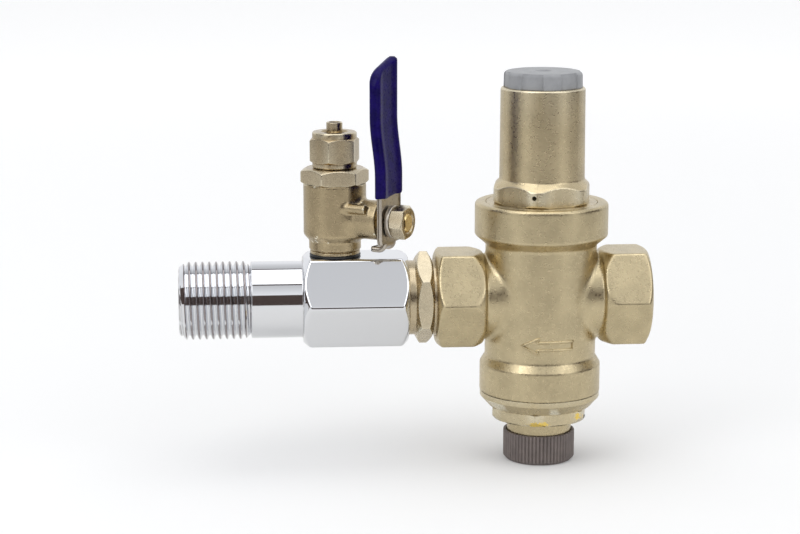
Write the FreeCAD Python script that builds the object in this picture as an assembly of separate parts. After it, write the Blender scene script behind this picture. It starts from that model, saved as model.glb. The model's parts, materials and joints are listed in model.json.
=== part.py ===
"""Pressure reducing valve with a hexagon nipple, a chrome feed adapter and a small lever ball valve.

Millimetres, +Z up. The origin is the centre of the inlet port's mouth. The pipe axis is the X axis,
and +X points out of the inlet. The reducing valve's spring axis is upright at VALVE_X, and the ball
valve stands upright on the adapter at BRANCH_X.
"""
import FreeCAD, Part
import math
import os

os.makedirs("parts", exist_ok=True)
Vec = FreeCAD.Vector
X_AXIS, Y_AXIS, Z_AXIS = Vec(1, 0, 0), Vec(0, 1, 0), Vec(0, 0, 1)

# ---- Driving dimensions: pipe run ----
FACE_TO_FACE = 58.0            # between the two ports of the reducing valve
VALVE_X = -FACE_TO_FACE / 2    # spring axis of the reducing valve
BRANCH_X = VALVE_X - 55.8      # axis of the small ball valve
THREAD_CREST = 20.955 / 2      # G1/2 major radius
THREAD_ROOT = 18.631 / 2       # G1/2 minor radius
THREAD_PITCH = 1.814           # 14 turns to the inch
HIDDEN_THREAD = 10.3           # screwed-in stretches, drawn plain
THREAD_GAP = 0.05              # radial room left round each plain screwed-in stretch

# ---- Reducing valve body ----
PORT_FLATS = 25.0              # hexagon ports, across flats
PORT_BACK = 16.0               # from the spring axis to the back of a port's hexagon
PORT_DEPTH = 11.0              # depth of the port threads
PORT_CORNER_R = 1.0            # rounding of the port hexagons' long edges
PORT_FACE_R, PORT_BACK_R = 11.9, 12.6      # flat rings left inside the two corner chamfers
COUNTERSINK = 0.5              # depth of the inlet port's countersink
NECK_R = 11.3                  # round neck between the barrel and a port
BARREL_R = 15.05
SADDLE_FILLET = 3.0            # where a neck meets the barrel
UPPER_COLLAR_R = 18.0
LOWER_COLLAR_R = 16.4
BODY_TOP = 26.0
BODY_BOTTOM = -26.1
PISTON_BORE_R = 12.0
BONNET_BORE_R = 15.0
GUIDE_R = 4.5                  # bore that guides the piston's stem
CHAMBER_R = 12.0               # outlet chamber below the seat
PLUG_BORE_R = 13.5

# ---- Bonnet, spring and adjuster ----
BONNET_TOP = 56.9
BONNET_BORE = 9.4
SPRING_FOOT = 14.5             # top face of the piston
SPRING_HEAD = 44.0             # underside of the spring plate
SPRING_R, WIRE_R, SPRING_PITCH = 7.2, 1.3, 3.9
PLATE_TOP = 45.2
ADJUSTER_TOP = 51.0
CAP_R, CAP_TOP = 10.6, 61.2

# ---- Bottom plug and gauge port ----
PLUG_NECK_R = 8.8
PLUG_SHOULDER = -39.0
SPIGOT_R, SPIGOT_END = 6.5, -44.0
KNOB_R, KNOB_TOP, KNOB_BOTTOM = 9.75, -37.3, -45.5
KNOB_RIBS = 60
KNOB_GROOVE_R = 0.25

# ---- Adapter and nipple ----
ADAPTER_END = VALVE_X - 97.7   # mouth of the male end
FIRST_CREST = ADAPTER_END + 2.6            # first full crest of the male thread
CRESTS = 9
SHANK_FROM, SHANK_R = ADAPTER_END + 19.1, 10.3
ADAPTER_HEX_FROM = VALVE_X - 64.6
ADAPTER_MOUTH = VALVE_X - 36.4
ADAPTER_FLATS = 24.0
ADAPTER_BORE = 7.2
NIPPLE_FLATS = 22.0
NIPPLE_HEX = (VALVE_X - 34.3, VALVE_X - 29.9)

# ---- Ball valve ----
STEM_TURN = -31.0              # the stem points this many degrees round from +X
STEM_Z = 22.5                  # height of the stem and of the ball's centre
BALL_R, BALL_BORE = 5.5, 2.5
POCKET_R = 5.8
VALVE_BARREL_R, VALVE_BARREL_TOP = 8.4, 31.7
BRANCH_THREAD_R = 4.85         # G1/8 male end in the adapter
CONNECTOR_FLATS, CONNECTOR_HEX_TOP = 16.0, 35.8
NUT_FLATS, NUT_BOTTOM, NUT_TOP = 12.0, 35.9, 45.5
INSERT_R, INSERT_BORE, INSERT_TOP = 2.15, 1.5, 48.0
STEM_R = 2.5
STEM_COLLAR_R = 2.85
BOSS_R, BOSS_END = 5.25, 14.4
PLATE_BACK, PLATE_THICK = 15.4, 1.5
LEVER_FOOT, LEVER_TOP = -8.2, 43.0
LEVER_INSET = 1.5              # how far the grip end is set in towards the valve
BEND_FROM, BEND_TO = 12.0, 28.0            # heights between which it is set in
GRIP_FOOT, GRIP_TOP = 6.3, 44.0
GRIP_WALL = 0.7
LOCK_WASHER_THICK = 1.2
TIP_SLANT = 4.0                # how much lower the tip is on the near side


def turned(outline, along):
    """A solid turned about the X or Z axis from (place along the axis, radius) points."""
    if along == "z":
        points = [Vec(radius, 0, place) for place, radius in outline]
        axis = Z_AXIS
    else:
        points = [Vec(place, 0, radius) for place, radius in outline]
        axis = X_AXIS
    face = Part.Face(Part.makePolygon(points + points[:1]))
    return face.revolve(Vec(0, 0, 0), axis, 360)


def rod(radius, start, end, along="z"):
    """A plain round bar on the X or Z axis."""
    return turned([(start, 0), (start, radius), (end, radius), (end, 0)], along)


def ring(outer, inner, start, end, along="z"):
    """A plain ring on the X or Z axis."""
    return turned([(start, inner), (start, outer), (end, outer), (end, inner)], along)


def o_ring(middle_r, cord_r, place, along="z"):
    """A round-section ring on the X or Z axis."""
    axis = Z_AXIS if along == "z" else X_AXIS
    return Part.makeTorus(middle_r, cord_r, axis * place, axis)


def hexagon(flats, start, end, corner, along="z", edge_r=0.0):
    """A hexagon bar, its first corner turned by so many degrees from +X (or from +Y on an X bar)."""
    points = []
    for step in range(6):
        angle = math.radians(corner + 60 * step)
        points.append(Vec(math.cos(angle), math.sin(angle), 0) * (flats / math.sqrt(3)))
    bar = Part.Face(Part.makePolygon(points + points[:1])).extrude(Vec(0, 0, end - start))
    if edge_r:
        upright = [e for e in bar.Edges if abs(e.Length - (end - start)) < 1e-6]
        upright = [e for e in upright if abs(e.tangentAt(e.FirstParameter).z) > 0.99]
        bar = bar.makeFillet(edge_r, upright)
    bar.translate(Vec(0, 0, start))
    if along == "x":
        # Z becomes X and X becomes Y
        bar.rotate(Vec(0, 0, 0), Vec(1, 1, 1), 120)
    return bar


def cone_ends(reach, start, end, start_r, end_r, slopes_deg, along="z"):
    """A turned blank with coned ends; it cuts the corners off a hexagon of the same length."""
    start_slope, end_slope = (math.tan(math.radians(slope)) for slope in slopes_deg)
    outline = [(start, 0), (start, start_r), (start + (reach - start_r) * start_slope, reach)]
    outline += [(end - (reach - end_r) * end_slope, reach), (end, end_r), (end, 0)]
    return turned(outline, along)


THREAD_FLANK = (THREAD_CREST - THREAD_ROOT) * math.tan(math.radians(27.5))
THREAD_FLAT = THREAD_PITCH / 2 - THREAD_FLANK


def ridged(start, turns, crest, root):
    """Outline of a run of pipe thread, from its first flat crest to its last."""
    points = []
    for turn in range(turns):
        x = start + turn * THREAD_PITCH
        points += [(x, crest), (x + THREAD_FLAT, crest)]
        if turn < turns - 1:
            groove = x + THREAD_FLAT + THREAD_FLANK
            points += [(groove, root), (groove + THREAD_FLAT, root)]
    return points


def on_valve(shape):
    """Moves a shape from the Z axis to the reducing valve's spring axis."""
    return shape.translated(Vec(VALVE_X, 0, 0))


def on_branch(shape):
    """Moves a shape from the Z axis to the ball valve's axis."""
    return shape.translated(Vec(BRANCH_X, 0, 0))


def on_stem(shape):
    """Moves a shape from the X axis to the ball valve's stem axis, X along the stem."""
    turned_round = shape.rotated(Vec(0, 0, 0), Z_AXIS, STEM_TURN)
    return turned_round.translated(Vec(BRANCH_X, 0, STEM_Z))


def save(name, shape):
    """Writes one sub-part, after checking that it is sound."""
    for solid in shape.Solids:
        if not solid.isValid() or solid.Volume <= 0:
            raise ValueError(f"{name} holds an unsound solid")
    size = shape.BoundBox
    print(f"{name:22s} {len(shape.Solids)} solid(s) {shape.Volume:9.1f} mm3",
          f"x {size.XMin:7.2f} {size.XMax:7.2f}  y {size.YMin:6.2f} {size.YMax:6.2f}",
          f" z {size.ZMin:6.2f} {size.ZMax:6.2f}")
    shape.exportStep(f"parts/{name}.step")


# ---------------------------------------------------------------- reducing valve
def port_hexagon(side):
    """One hexagon port, on the +X side or on the -X side."""
    mouth = FACE_TO_FACE / 2
    bar = hexagon(PORT_FLATS, PORT_BACK, mouth, 0, "x", PORT_CORNER_R)
    reach = PORT_FLATS / math.sqrt(3) + 0.2
    bar = bar.common(cone_ends(reach, PORT_BACK, mouth, PORT_BACK_R, PORT_FACE_R, (55, 30), "x"))
    return bar if side > 0 else bar.rotated(Vec(0, 0, 0), Z_AXIS, 180)


def body_outside():
    """The forging's outer shape: barrel, two collars, two necks and two hexagon ports."""
    barrel = turned([
        (BODY_BOTTOM, 0), (BODY_BOTTOM, LOWER_COLLAR_R), (-18.3, LOWER_COLLAR_R),
        (-16.1, BARREL_R), (14.6, BARREL_R), (17.1, UPPER_COLLAR_R),
        (25.2, UPPER_COLLAR_R), (BODY_TOP, UPPER_COLLAR_R - 0.8), (BODY_TOP, 0)], "z")
    neck = rod(NECK_R, -PORT_BACK - 8, PORT_BACK + 8, "x")
    cross = barrel.fuse(neck)
    saddle = [e for e in cross.Edges if 2 < e.BoundBox.XLength < 7 and e.BoundBox.ZLength > 20]
    cross = cross.makeFillet(SADDLE_FILLET, saddle)
    return cross.fuse([port_hexagon(1), port_hexagon(-1)]).removeSplitter()


def body_hollow():
    """Everything bored or cored out of the body."""
    mouth = FACE_TO_FACE / 2
    floor = mouth - PORT_DEPTH
    turns = 6
    last_crest = mouth - COUNTERSINK - THREAD_FLAT
    inlet = turned([(floor, 0), (floor, THREAD_ROOT)]
                   + ridged(last_crest - (turns - 1) * THREAD_PITCH, turns, THREAD_ROOT, THREAD_CREST)
                   + [(mouth, THREAD_CREST + 0.1), (mouth + 1, THREAD_CREST + 0.1), (mouth + 1, 0)],
                   "x")
    outlet = rod(HIDDEN_THREAD + THREAD_GAP, -mouth - 1, -floor, "x")
    bores = [
        inlet, outlet,
        rod(6.0, 0, floor + 1, "x"),                       # from the inlet port to the seat chamber
        rod(7.0, -5.0, 3.0),                               # inlet chamber above the seat
        rod(6.5, -8.0, -5.0),                              # pocket for the seat ring
        rod(GUIDE_R, 3.0, 8.0),
        rod(PISTON_BORE_R, 8.0, 18.0),
        rod(BONNET_BORE_R, 17.0, BODY_TOP + 1),
        rod(CHAMBER_R, -21.0, -8.0),
        rod(PLUG_BORE_R, BODY_BOTTOM - 1, -20.5),
        Part.makeBox(9, 10, 16, Vec(-18.5, -5, -12)),      # outlet passage
        Part.makeCylinder(1.0, 5.0, Vec(-10.8, 0, 3.5), Z_AXIS),  # sensing hole to the piston
    ]
    return bores[0].fuse(bores[1:])


def prv_body():
    return on_valve(body_outside().cut(body_hollow()))


def bonnet():
    """Spring housing: threaded skirt, hexagon foot, coned shoulder and slightly tapered barrel."""
    skirt = ring(BONNET_BORE_R - THREAD_GAP, BONNET_BORE, 18.0, BODY_TOP)
    foot = hexagon(25.0, BODY_TOP, 32.2, -43).common(turned([
        (BODY_TOP, 0), (BODY_TOP, 13.3), (BODY_TOP + 0.3, 13.6), (30.2, 13.6), (32.2, 11.5),
        (32.2, 0)], "z"))
    barrel = turned([(26.5, 0), (26.5, 11.5), (32.2, 11.5), (BONNET_TOP - 0.9, 11.35),
                     (BONNET_TOP, 10.5), (BONNET_TOP, 0)], "z")
    whole = foot.fuse([barrel, skirt])
    whole = whole.cut(rod(BONNET_BORE, 17.0, BONNET_TOP + 1))
    vent = rod(0.6, 9.0, 14.5, "x").rotated(Vec(0, 0, 0), Z_AXIS, -106.3).translated(Vec(0, 0, 28.8))
    return on_valve(whole.cut(vent).removeSplitter())


def bonnet_seal():
    return on_valve(ring(14.9, 12.05, 17.0, 18.0))


def seat_ring():
    return on_valve(turned([(-8.6, 5.6), (-8.0, 5.3), (-5.0, 5.0), (-5.0, 6.5), (-8.0, 6.5),
                            (-8.6, 6.0)], "z"))


def piston():
    """Piston, guided stem and the thin rod that carries the valve disc, in one turned piece."""
    outline = [
        (-12.7, 1.5), (-12.7, 2.0), (0.0, 2.0), (0.0, GUIDE_R - THREAD_GAP),
        (3.4, GUIDE_R - THREAD_GAP), (3.4, 3.1), (4.8, 3.1), (4.8, GUIDE_R - THREAD_GAP),
        (9.5, GUIDE_R - THREAD_GAP), (9.5, PISTON_BORE_R - THREAD_GAP),
        (11.0, PISTON_BORE_R - THREAD_GAP), (11.0, 10.2), (12.8, 10.2),
        (12.8, PISTON_BORE_R - THREAD_GAP), (SPRING_FOOT, PISTON_BORE_R - THREAD_GAP),
        (SPRING_FOOT, 5.4), (SPRING_FOOT + 1.5, 5.0), (SPRING_FOOT + 1.5, 0), (-8.7, 0), (-8.7, 1.5)]
    return on_valve(turned(outline, "z"))


def piston_o_ring():
    return on_valve(o_ring(11.06, 0.84, 11.9))


def piston_stem_o_ring():
    return on_valve(o_ring(3.76, 0.64, 4.1))


def valve_disc():
    return on_valve(turned([(-14.2, 1.5), (-14.2, 6.2), (-13.8, 6.6), (-11.5, 6.6), (-11.5, 6.0),
                            (-12.7, 6.0), (-12.7, 1.5)], "z"))


def seat_gasket():
    return on_valve(ring(5.95, 2.05, -12.7, -11.0))


def disc_screw():
    head = turned([(-16.2, 0), (-16.2, 2.3), (-15.8, 2.8), (-14.2, 2.8), (-14.2, 1.45), (-9.0, 1.45),
                   (-9.0, 0)], "z")
    slot = Part.makeBox(6.0, 0.8, 0.9, Vec(-3.0, -0.4, -16.3))
    return on_valve(head.cut(slot))


def regulating_spring():
    """Wire coil with its two ends ground flat."""
    climb = SPRING_HEAD - SPRING_FOOT - 0.6
    path = Part.Wire(Part.makeHelix(SPRING_PITCH, climb, SPRING_R))
    wire = Part.Wire(Part.makeCircle(WIRE_R, Vec(SPRING_R, 0, 0), Y_AXIS))
    coil = path.makePipeShell([wire], True, True)
    coil.translate(Vec(0, 0, SPRING_FOOT + 0.3))
    coil = coil.common(ring(SPRING_R + 2, SPRING_R - 2, SPRING_FOOT, SPRING_HEAD))
    return on_valve(coil)


def spring_plate():
    return on_valve(turned([(SPRING_HEAD, 0), (SPRING_HEAD, 9.2), (PLATE_TOP, 9.2), (PLATE_TOP, 0)],
                           "z").fuse(rod(5.0, SPRING_HEAD - 1.5, SPRING_HEAD)))


def adjusting_screw():
    """Threaded disc with a hexagon socket; its thread is drawn plain."""
    disc = turned([(PLATE_TOP, 0), (PLATE_TOP, 8.8), (PLATE_TOP + 0.5, 9.32), (ADJUSTER_TOP - 0.5, 9.32),
                   (ADJUSTER_TOP, 8.8), (ADJUSTER_TOP, 0)], "z")
    return on_valve(disc.cut(hexagon(8.0, ADJUSTER_TOP - 4.0, ADJUSTER_TOP + 1, 0)))


def top_cap():
    """Plastic cap with six shallow side pads, a shallow dished top and a hollow plug end."""
    outside = turned([(BONNET_TOP, 0), (BONNET_TOP, CAP_R), (CAP_TOP - 1.0, CAP_R - 0.1),
                      (CAP_TOP - 0.3, CAP_R - 0.5), (CAP_TOP, CAP_R - 1.2), (CAP_TOP, 0)], "z")
    band = ring(CAP_R + 1, CAP_R - 0.4, BONNET_TOP, CAP_TOP - 0.8)
    for step in range(6):
        wedge = Part.makeCylinder(CAP_R + 2, CAP_TOP, Vec(0, 0, 0), Z_AXIS, 26)
        band = band.cut(wedge.rotated(Vec(0, 0, 0), Z_AXIS, -82 + 60 * step))
    outside = outside.cut(band)
    plug = ring(BONNET_BORE - 0.1, 8.2, 53.0, BONNET_TOP + 0.5)
    hollow = rod(8.2, 52.0, CAP_TOP - 1.6)
    dimple = rod(1.4, CAP_TOP - 0.5, CAP_TOP + 1)
    return on_valve(outside.fuse(plug).cut(hollow.fuse(dimple)).removeSplitter())


def bottom_plug():
    """Plug with threaded skirt, flange, chamfered hexagon and the gauge port's spigot."""
    flange = turned([
        (BODY_BOTTOM, 0), (BODY_BOTTOM, 16.3), (-27.5, 16.3), (-30.3, 13.4), (-30.3, 0)], "z")
    nut = hexagon(24.7, -33.6, -30.3, -90 - 12.6).common(turned([
        (-33.6, 0), (-33.6, 12.6), (-32.6, 13.9), (-30.3, 13.9), (-30.3, 0)], "z"))
    skirt = turned([
        (BODY_BOTTOM, 0), (BODY_BOTTOM, PLUG_BORE_R - THREAD_GAP), (-24.6, PLUG_BORE_R - THREAD_GAP),
        (-24.6, 11.9), (-22.8, 11.9), (-22.8, PLUG_BORE_R - THREAD_GAP),
        (-20.9, PLUG_BORE_R - THREAD_GAP), (-20.9, 0)], "z")
    neck = turned([
        (-30.0, 0), (-30.0, PLUG_NECK_R), (PLUG_SHOULDER, PLUG_NECK_R), (PLUG_SHOULDER, SPIGOT_R),
        (SPIGOT_END + 0.6, SPIGOT_R), (SPIGOT_END, SPIGOT_R - 0.6), (SPIGOT_END, 0)], "z")
    whole = flange.fuse([nut, skirt, neck])
    return on_valve(whole.cut(rod(10.0, -31.0, -20.0).fuse(rod(3.0, -45.0, -30.5))).removeSplitter())


def bottom_plug_o_ring():
    return on_valve(o_ring(12.7, 0.78, -23.7))


def gauge_port_seal():
    return on_valve(ring(6.3, 1.2, SPIGOT_END - 0.6, SPIGOT_END))


def gauge_port_cap():
    """Knurled plastic cap; its rim surrounds the plug's neck."""
    outside = turned([
        (KNOB_BOTTOM, 0), (KNOB_BOTTOM, KNOB_R - 0.9), (KNOB_BOTTOM + 0.3, KNOB_R - 0.4),
        (KNOB_BOTTOM + 0.9, KNOB_R), (KNOB_TOP - 0.4, KNOB_R), (KNOB_TOP, KNOB_R - 0.4), (KNOB_TOP, 0)],
        "z")
    height = KNOB_TOP - KNOB_BOTTOM + 2
    groove = Part.makeCylinder(KNOB_GROOVE_R, height, Vec(KNOB_R, 0, KNOB_BOTTOM - 1), Z_AXIS)
    grooves = []
    for rib in range(KNOB_RIBS):
        grooves.append(groove.rotated(Vec(0, 0, 0), Z_AXIS, 360 * rib / KNOB_RIBS))
    cup = rod(PLUG_NECK_R + 0.2, PLUG_SHOULDER - 0.2, KNOB_TOP + 1)
    bore = rod(SPIGOT_R + THREAD_GAP, SPIGOT_END - 0.6, KNOB_TOP)
    return on_valve(outside.cut([cup, bore] + grooves))


# ---------------------------------------------------------------- nipple and adapter
def hex_nipple():
    """Male to male nipple; its two threads are screwed in and drawn plain."""
    left, right = NIPPLE_HEX
    hexa = hexagon(NIPPLE_FLATS, left, right, 30, "x").common(
        cone_ends(12.8, left, right, 10.6, 10.6, (30, 30), "x"))
    core = turned([
        (left - 12.5, 0), (left - 12.5, 9.6), (left - 11.6, HIDDEN_THREAD), (left - 2.1, HIDDEN_THREAD),
        (left - 2.1, 10.0), (right + 0.9, 10.0), (right + 0.9, HIDDEN_THREAD),
        (right + 10.4, HIDDEN_THREAD), (right + 11.3, 9.6), (right + 11.3, 0)], "x")
    bore = rod(7.0, left - 15, right + 15, "x")
    return hexa.fuse(core).cut(bore).removeSplitter()


def adapter_body():
    """Chrome tee: male G1/2 end, round shank, hexagon with the side port, female G1/2 mouth."""
    outline = [(ADAPTER_END, 0), (ADAPTER_END, THREAD_ROOT - 0.2)]
    outline += ridged(FIRST_CREST, CRESTS, THREAD_CREST, THREAD_ROOT)
    last_groove = FIRST_CREST + (CRESTS - 1) * THREAD_PITCH + THREAD_FLAT + THREAD_FLANK
    outline += [(last_groove, THREAD_ROOT), (SHANK_FROM - 0.3, THREAD_ROOT), (SHANK_FROM, SHANK_R),
                (ADAPTER_HEX_FROM + 1, SHANK_R), (ADAPTER_HEX_FROM + 1, 0)]
    shank = turned(outline, "x")
    hexa = hexagon(ADAPTER_FLATS, ADAPTER_HEX_FROM, ADAPTER_MOUTH, 0, "x", 1.2).common(
        cone_ends(14.0, ADAPTER_HEX_FROM, ADAPTER_MOUTH, 11.6, 11.6, (35, 35), "x"))
    mouth = rod(HIDDEN_THREAD + THREAD_GAP, ADAPTER_MOUTH - 11.2, ADAPTER_MOUTH + 1, "x")
    bore = rod(ADAPTER_BORE, ADAPTER_END - 1, ADAPTER_MOUTH, "x")
    side_port = on_branch(rod(BRANCH_THREAD_R + THREAD_GAP, 0, 13))
    return shank.fuse(hexa).cut(mouth.fuse([bore, side_port])).removeSplitter()


# ---------------------------------------------------------------- ball valve
def valve_base_o_ring():
    return on_branch(turned([(12.0, 5.0), (12.0, 6.6), (12.2, 6.85), (12.5, 6.85), (12.7, 6.6),
                             (12.7, 5.0)], "z"))


def ball_valve_body():
    """Forged body with stem boss and stop rib."""
    column = turned([
        (8.0, 0), (8.0, 4.3), (8.6, BRANCH_THREAD_R), (12.7, BRANCH_THREAD_R), (12.7, 6.7), (13.5, 6.7),
        (13.5, 6.2), (14.0, 6.2), (14.0, 6.95), (16.3, 6.95), (18.0, VALVE_BARREL_R),
        (VALVE_BARREL_TOP, VALVE_BARREL_R), (VALVE_BARREL_TOP, 0)], "z")
    column = on_branch(column)
    boss = on_stem(turned([(0, 0), (0, BOSS_R), (BOSS_END - 0.5, BOSS_R), (BOSS_END, BOSS_R - 0.5),
                           (BOSS_END, 0)], "x"))
    rib = Part.makeCylinder(1.3, 7.9, Vec(4.0, -4.9, 3.4), X_AXIS)
    outside = column.fuse([boss, on_stem(rib)])
    pocket = rod(POCKET_R, 17.4, 27.6).fuse([
        rod(BALL_BORE, 7.0, 18.0), rod(6.6, 27.6, VALVE_BARREL_TOP + 1)])
    stem_bore = turned([(0, 0), (0, 3.3), (7.4, 3.3), (7.4, STEM_R + THREAD_GAP),
                        (BOSS_END + 1, STEM_R + THREAD_GAP), (BOSS_END + 1, 0)], "x")
    return outside.cut([on_branch(pocket), on_stem(stem_bore)]).removeSplitter()


def ball_seat(upper):
    """PTFE ring with a hollow cup that fits the ball."""
    low, high = (25.4, 27.6) if upper else (17.4, 19.6)
    blank = ring(POCKET_R - 0.02, BALL_BORE, low, high)
    return on_branch(blank.cut(Part.makeSphere(BALL_R + THREAD_GAP, Vec(0, 0, STEM_Z))))


def ball():
    """Bored ball with a slot for the stem's blade."""
    sphere = Part.makeSphere(BALL_R)
    bore = Part.makeCylinder(BALL_BORE, 14, Vec(0, 0, -7), Z_AXIS)
    slot = Part.makeBox(3.0, 2.4, 12.0, Vec(3.9, -1.2, -6.0))
    return on_stem(sphere.cut(bore.fuse(slot)))


def valve_stem():
    """Stem with a blade in the ball, a collar inside the body, two ring grooves and a flatted end."""
    outline = [
        (5.6, 0), (5.6, STEM_COLLAR_R), (6.9, STEM_COLLAR_R), (6.9, STEM_R), (8.3, STEM_R),
        (8.3, 1.65), (9.5, 1.65),
        (9.5, STEM_R), (10.3, STEM_R), (10.3, 1.65), (11.5, 1.65), (11.5, STEM_R), (21.7, STEM_R),
        (22.1, STEM_R - 0.4), (22.1, 0)]
    stem = turned(outline, "x")
    for side in (-1, 1):
        stem = stem.cut(Part.makeBox(8.0, 2.0, 8.0, Vec(PLATE_BACK, side * 2.9 - 1.0, -4.0)))
    blade = Part.makeBox(2.0, 2.2, 5.0, Vec(4.0, -1.1, -2.5))
    return on_stem(stem.fuse(blade).removeSplitter())


def stem_thrust_washer():
    return on_stem(ring(3.25, STEM_R + 0.02, 6.9, 7.4, "x"))


def stem_o_rings():
    rings = [o_ring(2.07, 0.4, place, "x") for place in (8.9, 10.9)]
    return on_stem(Part.makeCompound(rings))


def lever_side(low, high, grow):
    """Closed side outline of the bent strip between two heights, grown by a wall thickness."""
    def run(near):
        """One face from foot to tip: straight, set in by an S-bend, straight."""
        far = near - LEVER_INSET
        bow = [Vec(near, 0, BEND_FROM), Vec(near, 0, BEND_FROM + 6), Vec(far, 0, BEND_TO - 6),
               Vec(far, 0, BEND_TO)]
        curve = Part.BezierCurve()
        curve.setPoles(bow)
        ends = Vec(near, 0, low), Vec(far, 0, high)
        return ends, [Part.LineSegment(ends[0], bow[0]).toShape(), curve.toShape(),
                      Part.LineSegment(bow[-1], ends[1]).toShape()]

    back_ends, back = run(PLATE_BACK - grow)
    front_ends, front = run(PLATE_BACK + PLATE_THICK + grow)
    closers = [Part.LineSegment(one, other).toShape() for one, other in zip(back_ends, front_ends)]
    return Part.Face(Part.Wire(Part.__sortEdges__(back + front + closers)))


def lever_front(low, high, half_low, half_high, foot_r, tip_radii):
    """Front view of the strip, as a thick blank along the stem, to cut its side outline to width."""
    near_high = high - TIP_SLANT
    points = [Vec(0, -half_low, low), Vec(0, half_low, low), Vec(0, half_high, high),
              Vec(0, -half_high, near_high)]
    blank = Part.Face(Part.makePolygon(points + points[:1])).extrude(Vec(30, 0, 0))

    def edges_at(half, height):
        return [e for e in blank.Edges if e.BoundBox.XLength > 20
                and abs(e.CenterOfMass.y - half) < 1e-6 and abs(e.CenterOfMass.z - height) < 1e-6]

    corners = [(-half_high, near_high, tip_radii[0]), (half_high, high, tip_radii[1])]
    if foot_r:
        corners += [(-half_low, low, foot_r), (half_low, low, foot_r)]
    for half, height, fillet in corners:
        blank = blank.makeFillet(fillet, edges_at(half, height))
    return blank


def lever_strip():
    """The strip without its hole and tab."""
    strip = lever_side(LEVER_FOOT, LEVER_TOP, 0).extrude(Vec(0, 16, 0)).translated(Vec(0, -8, 0))
    return strip.common(lever_front(LEVER_FOOT, LEVER_TOP, 5.9, 5.9, 4.8, (4.0, 1.6)))


def lever_plate():
    """Bent steel strip with a flatted hole for the stem and a stop tab turned in at its foot."""
    tab = Part.makeBox(3.4, 6.0, PLATE_THICK, Vec(PLATE_BACK - 3.2, -3.0, LEVER_FOOT))
    hole = rod(STEM_R + 0.02, 10, 20, "x").common(
        Part.makeBox(10, 3.84, 8, Vec(10, -1.92, -4)))
    return on_stem(lever_strip().fuse(tab).cut(hole).removeSplitter())


def lever_grip():
    """Vinyl sleeve dipped over the upper part of the lever."""
    sleeve = lever_side(GRIP_FOOT, GRIP_TOP, GRIP_WALL).extrude(Vec(0, 16, 0))
    sleeve = sleeve.translated(Vec(0, -8, 0)).common(
        lever_front(GRIP_FOOT, GRIP_TOP, 6.4, 6.6, 0, (4.6, 2.2)))
    return on_stem(sleeve.cut(lever_strip()).removeSplitter())


def lock_washer():
    """Split spring washer."""
    start = PLATE_BACK + PLATE_THICK
    washer = ring(4.3, STEM_R + 0.1, start, start + LOCK_WASHER_THICK, "x")
    gap = Part.makeBox(3, 1.0, 4.0, Vec(start - 0.5, -0.5, 2.0))
    gap = gap.rotated(Vec(start, 0, 3.4), Z_AXIS, 20)
    return on_stem(washer.cut(gap))


def lever_nut():
    start = PLATE_BACK + PLATE_THICK + LOCK_WASHER_THICK
    nut = hexagon(8.0, start, start + 4.0, 12, "x").common(
        cone_ends(4.7, start, start + 4.0, 4.0, 4.0, (30, 30), "x"))
    return on_stem(nut.cut(rod(STEM_R + 0.02, start - 1, start + 5, "x")))


def end_connector():
    """Hexagon connector: screwed end that presses the seats, tube thread and tube insert."""
    hexa = hexagon(CONNECTOR_FLATS, VALVE_BARREL_TOP, CONNECTOR_HEX_TOP, -90 - 25.4).common(
        cone_ends(9.3, VALVE_BARREL_TOP, CONNECTOR_HEX_TOP, 8.3, 7.6, (30, 30)))
    core = turned([
        (27.6, 0), (27.6, 6.55), (30.6, 6.55), (30.6, 6.0), (VALVE_BARREL_TOP, 6.0),
        (CONNECTOR_HEX_TOP, 6.0), (CONNECTOR_HEX_TOP, 4.9), (40.8, 4.9), (42.0, INSERT_R),
        (INSERT_TOP - 0.3, INSERT_R), (INSERT_TOP, INSERT_R - 0.2), (INSERT_TOP, 0)], "z")
    bore = turned([(27.0, 0), (27.0, BALL_BORE), (34.0, BALL_BORE), (35.0, INSERT_BORE),
                   (INSERT_TOP + 1, INSERT_BORE), (INSERT_TOP + 1, 0)], "z")
    return on_branch(hexa.fuse(core).cut(bore).removeSplitter())


def end_connector_seal():
    return on_branch(o_ring(6.3, 0.29, 31.15))


def compression_nut():
    """Tube nut: hexagon between two turned ends."""
    hexa = hexagon(NUT_FLATS, 37.2, 43.9, -90 - 15.8).common(
        cone_ends(6.93, 37.2, 43.9, 5.95, 5.95, (30, 30)))
    ends = turned([
        (NUT_BOTTOM, 0), (NUT_BOTTOM, 5.6), (NUT_BOTTOM + 0.35, 5.95), (NUT_TOP - 0.4, 5.95),
        (NUT_TOP, 5.5), (NUT_TOP, 0)], "z")
    bore = turned([
        (35.0, 0), (35.0, 4.95), (42.2, 4.95), (43.0, 3.25), (NUT_TOP - 0.4, 3.25), (NUT_TOP, 3.7),
        (NUT_TOP + 1, 3.7), (NUT_TOP + 1, 0)], "z")
    return on_branch(hexa.fuse(ends).cut(bore).removeSplitter())


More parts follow.
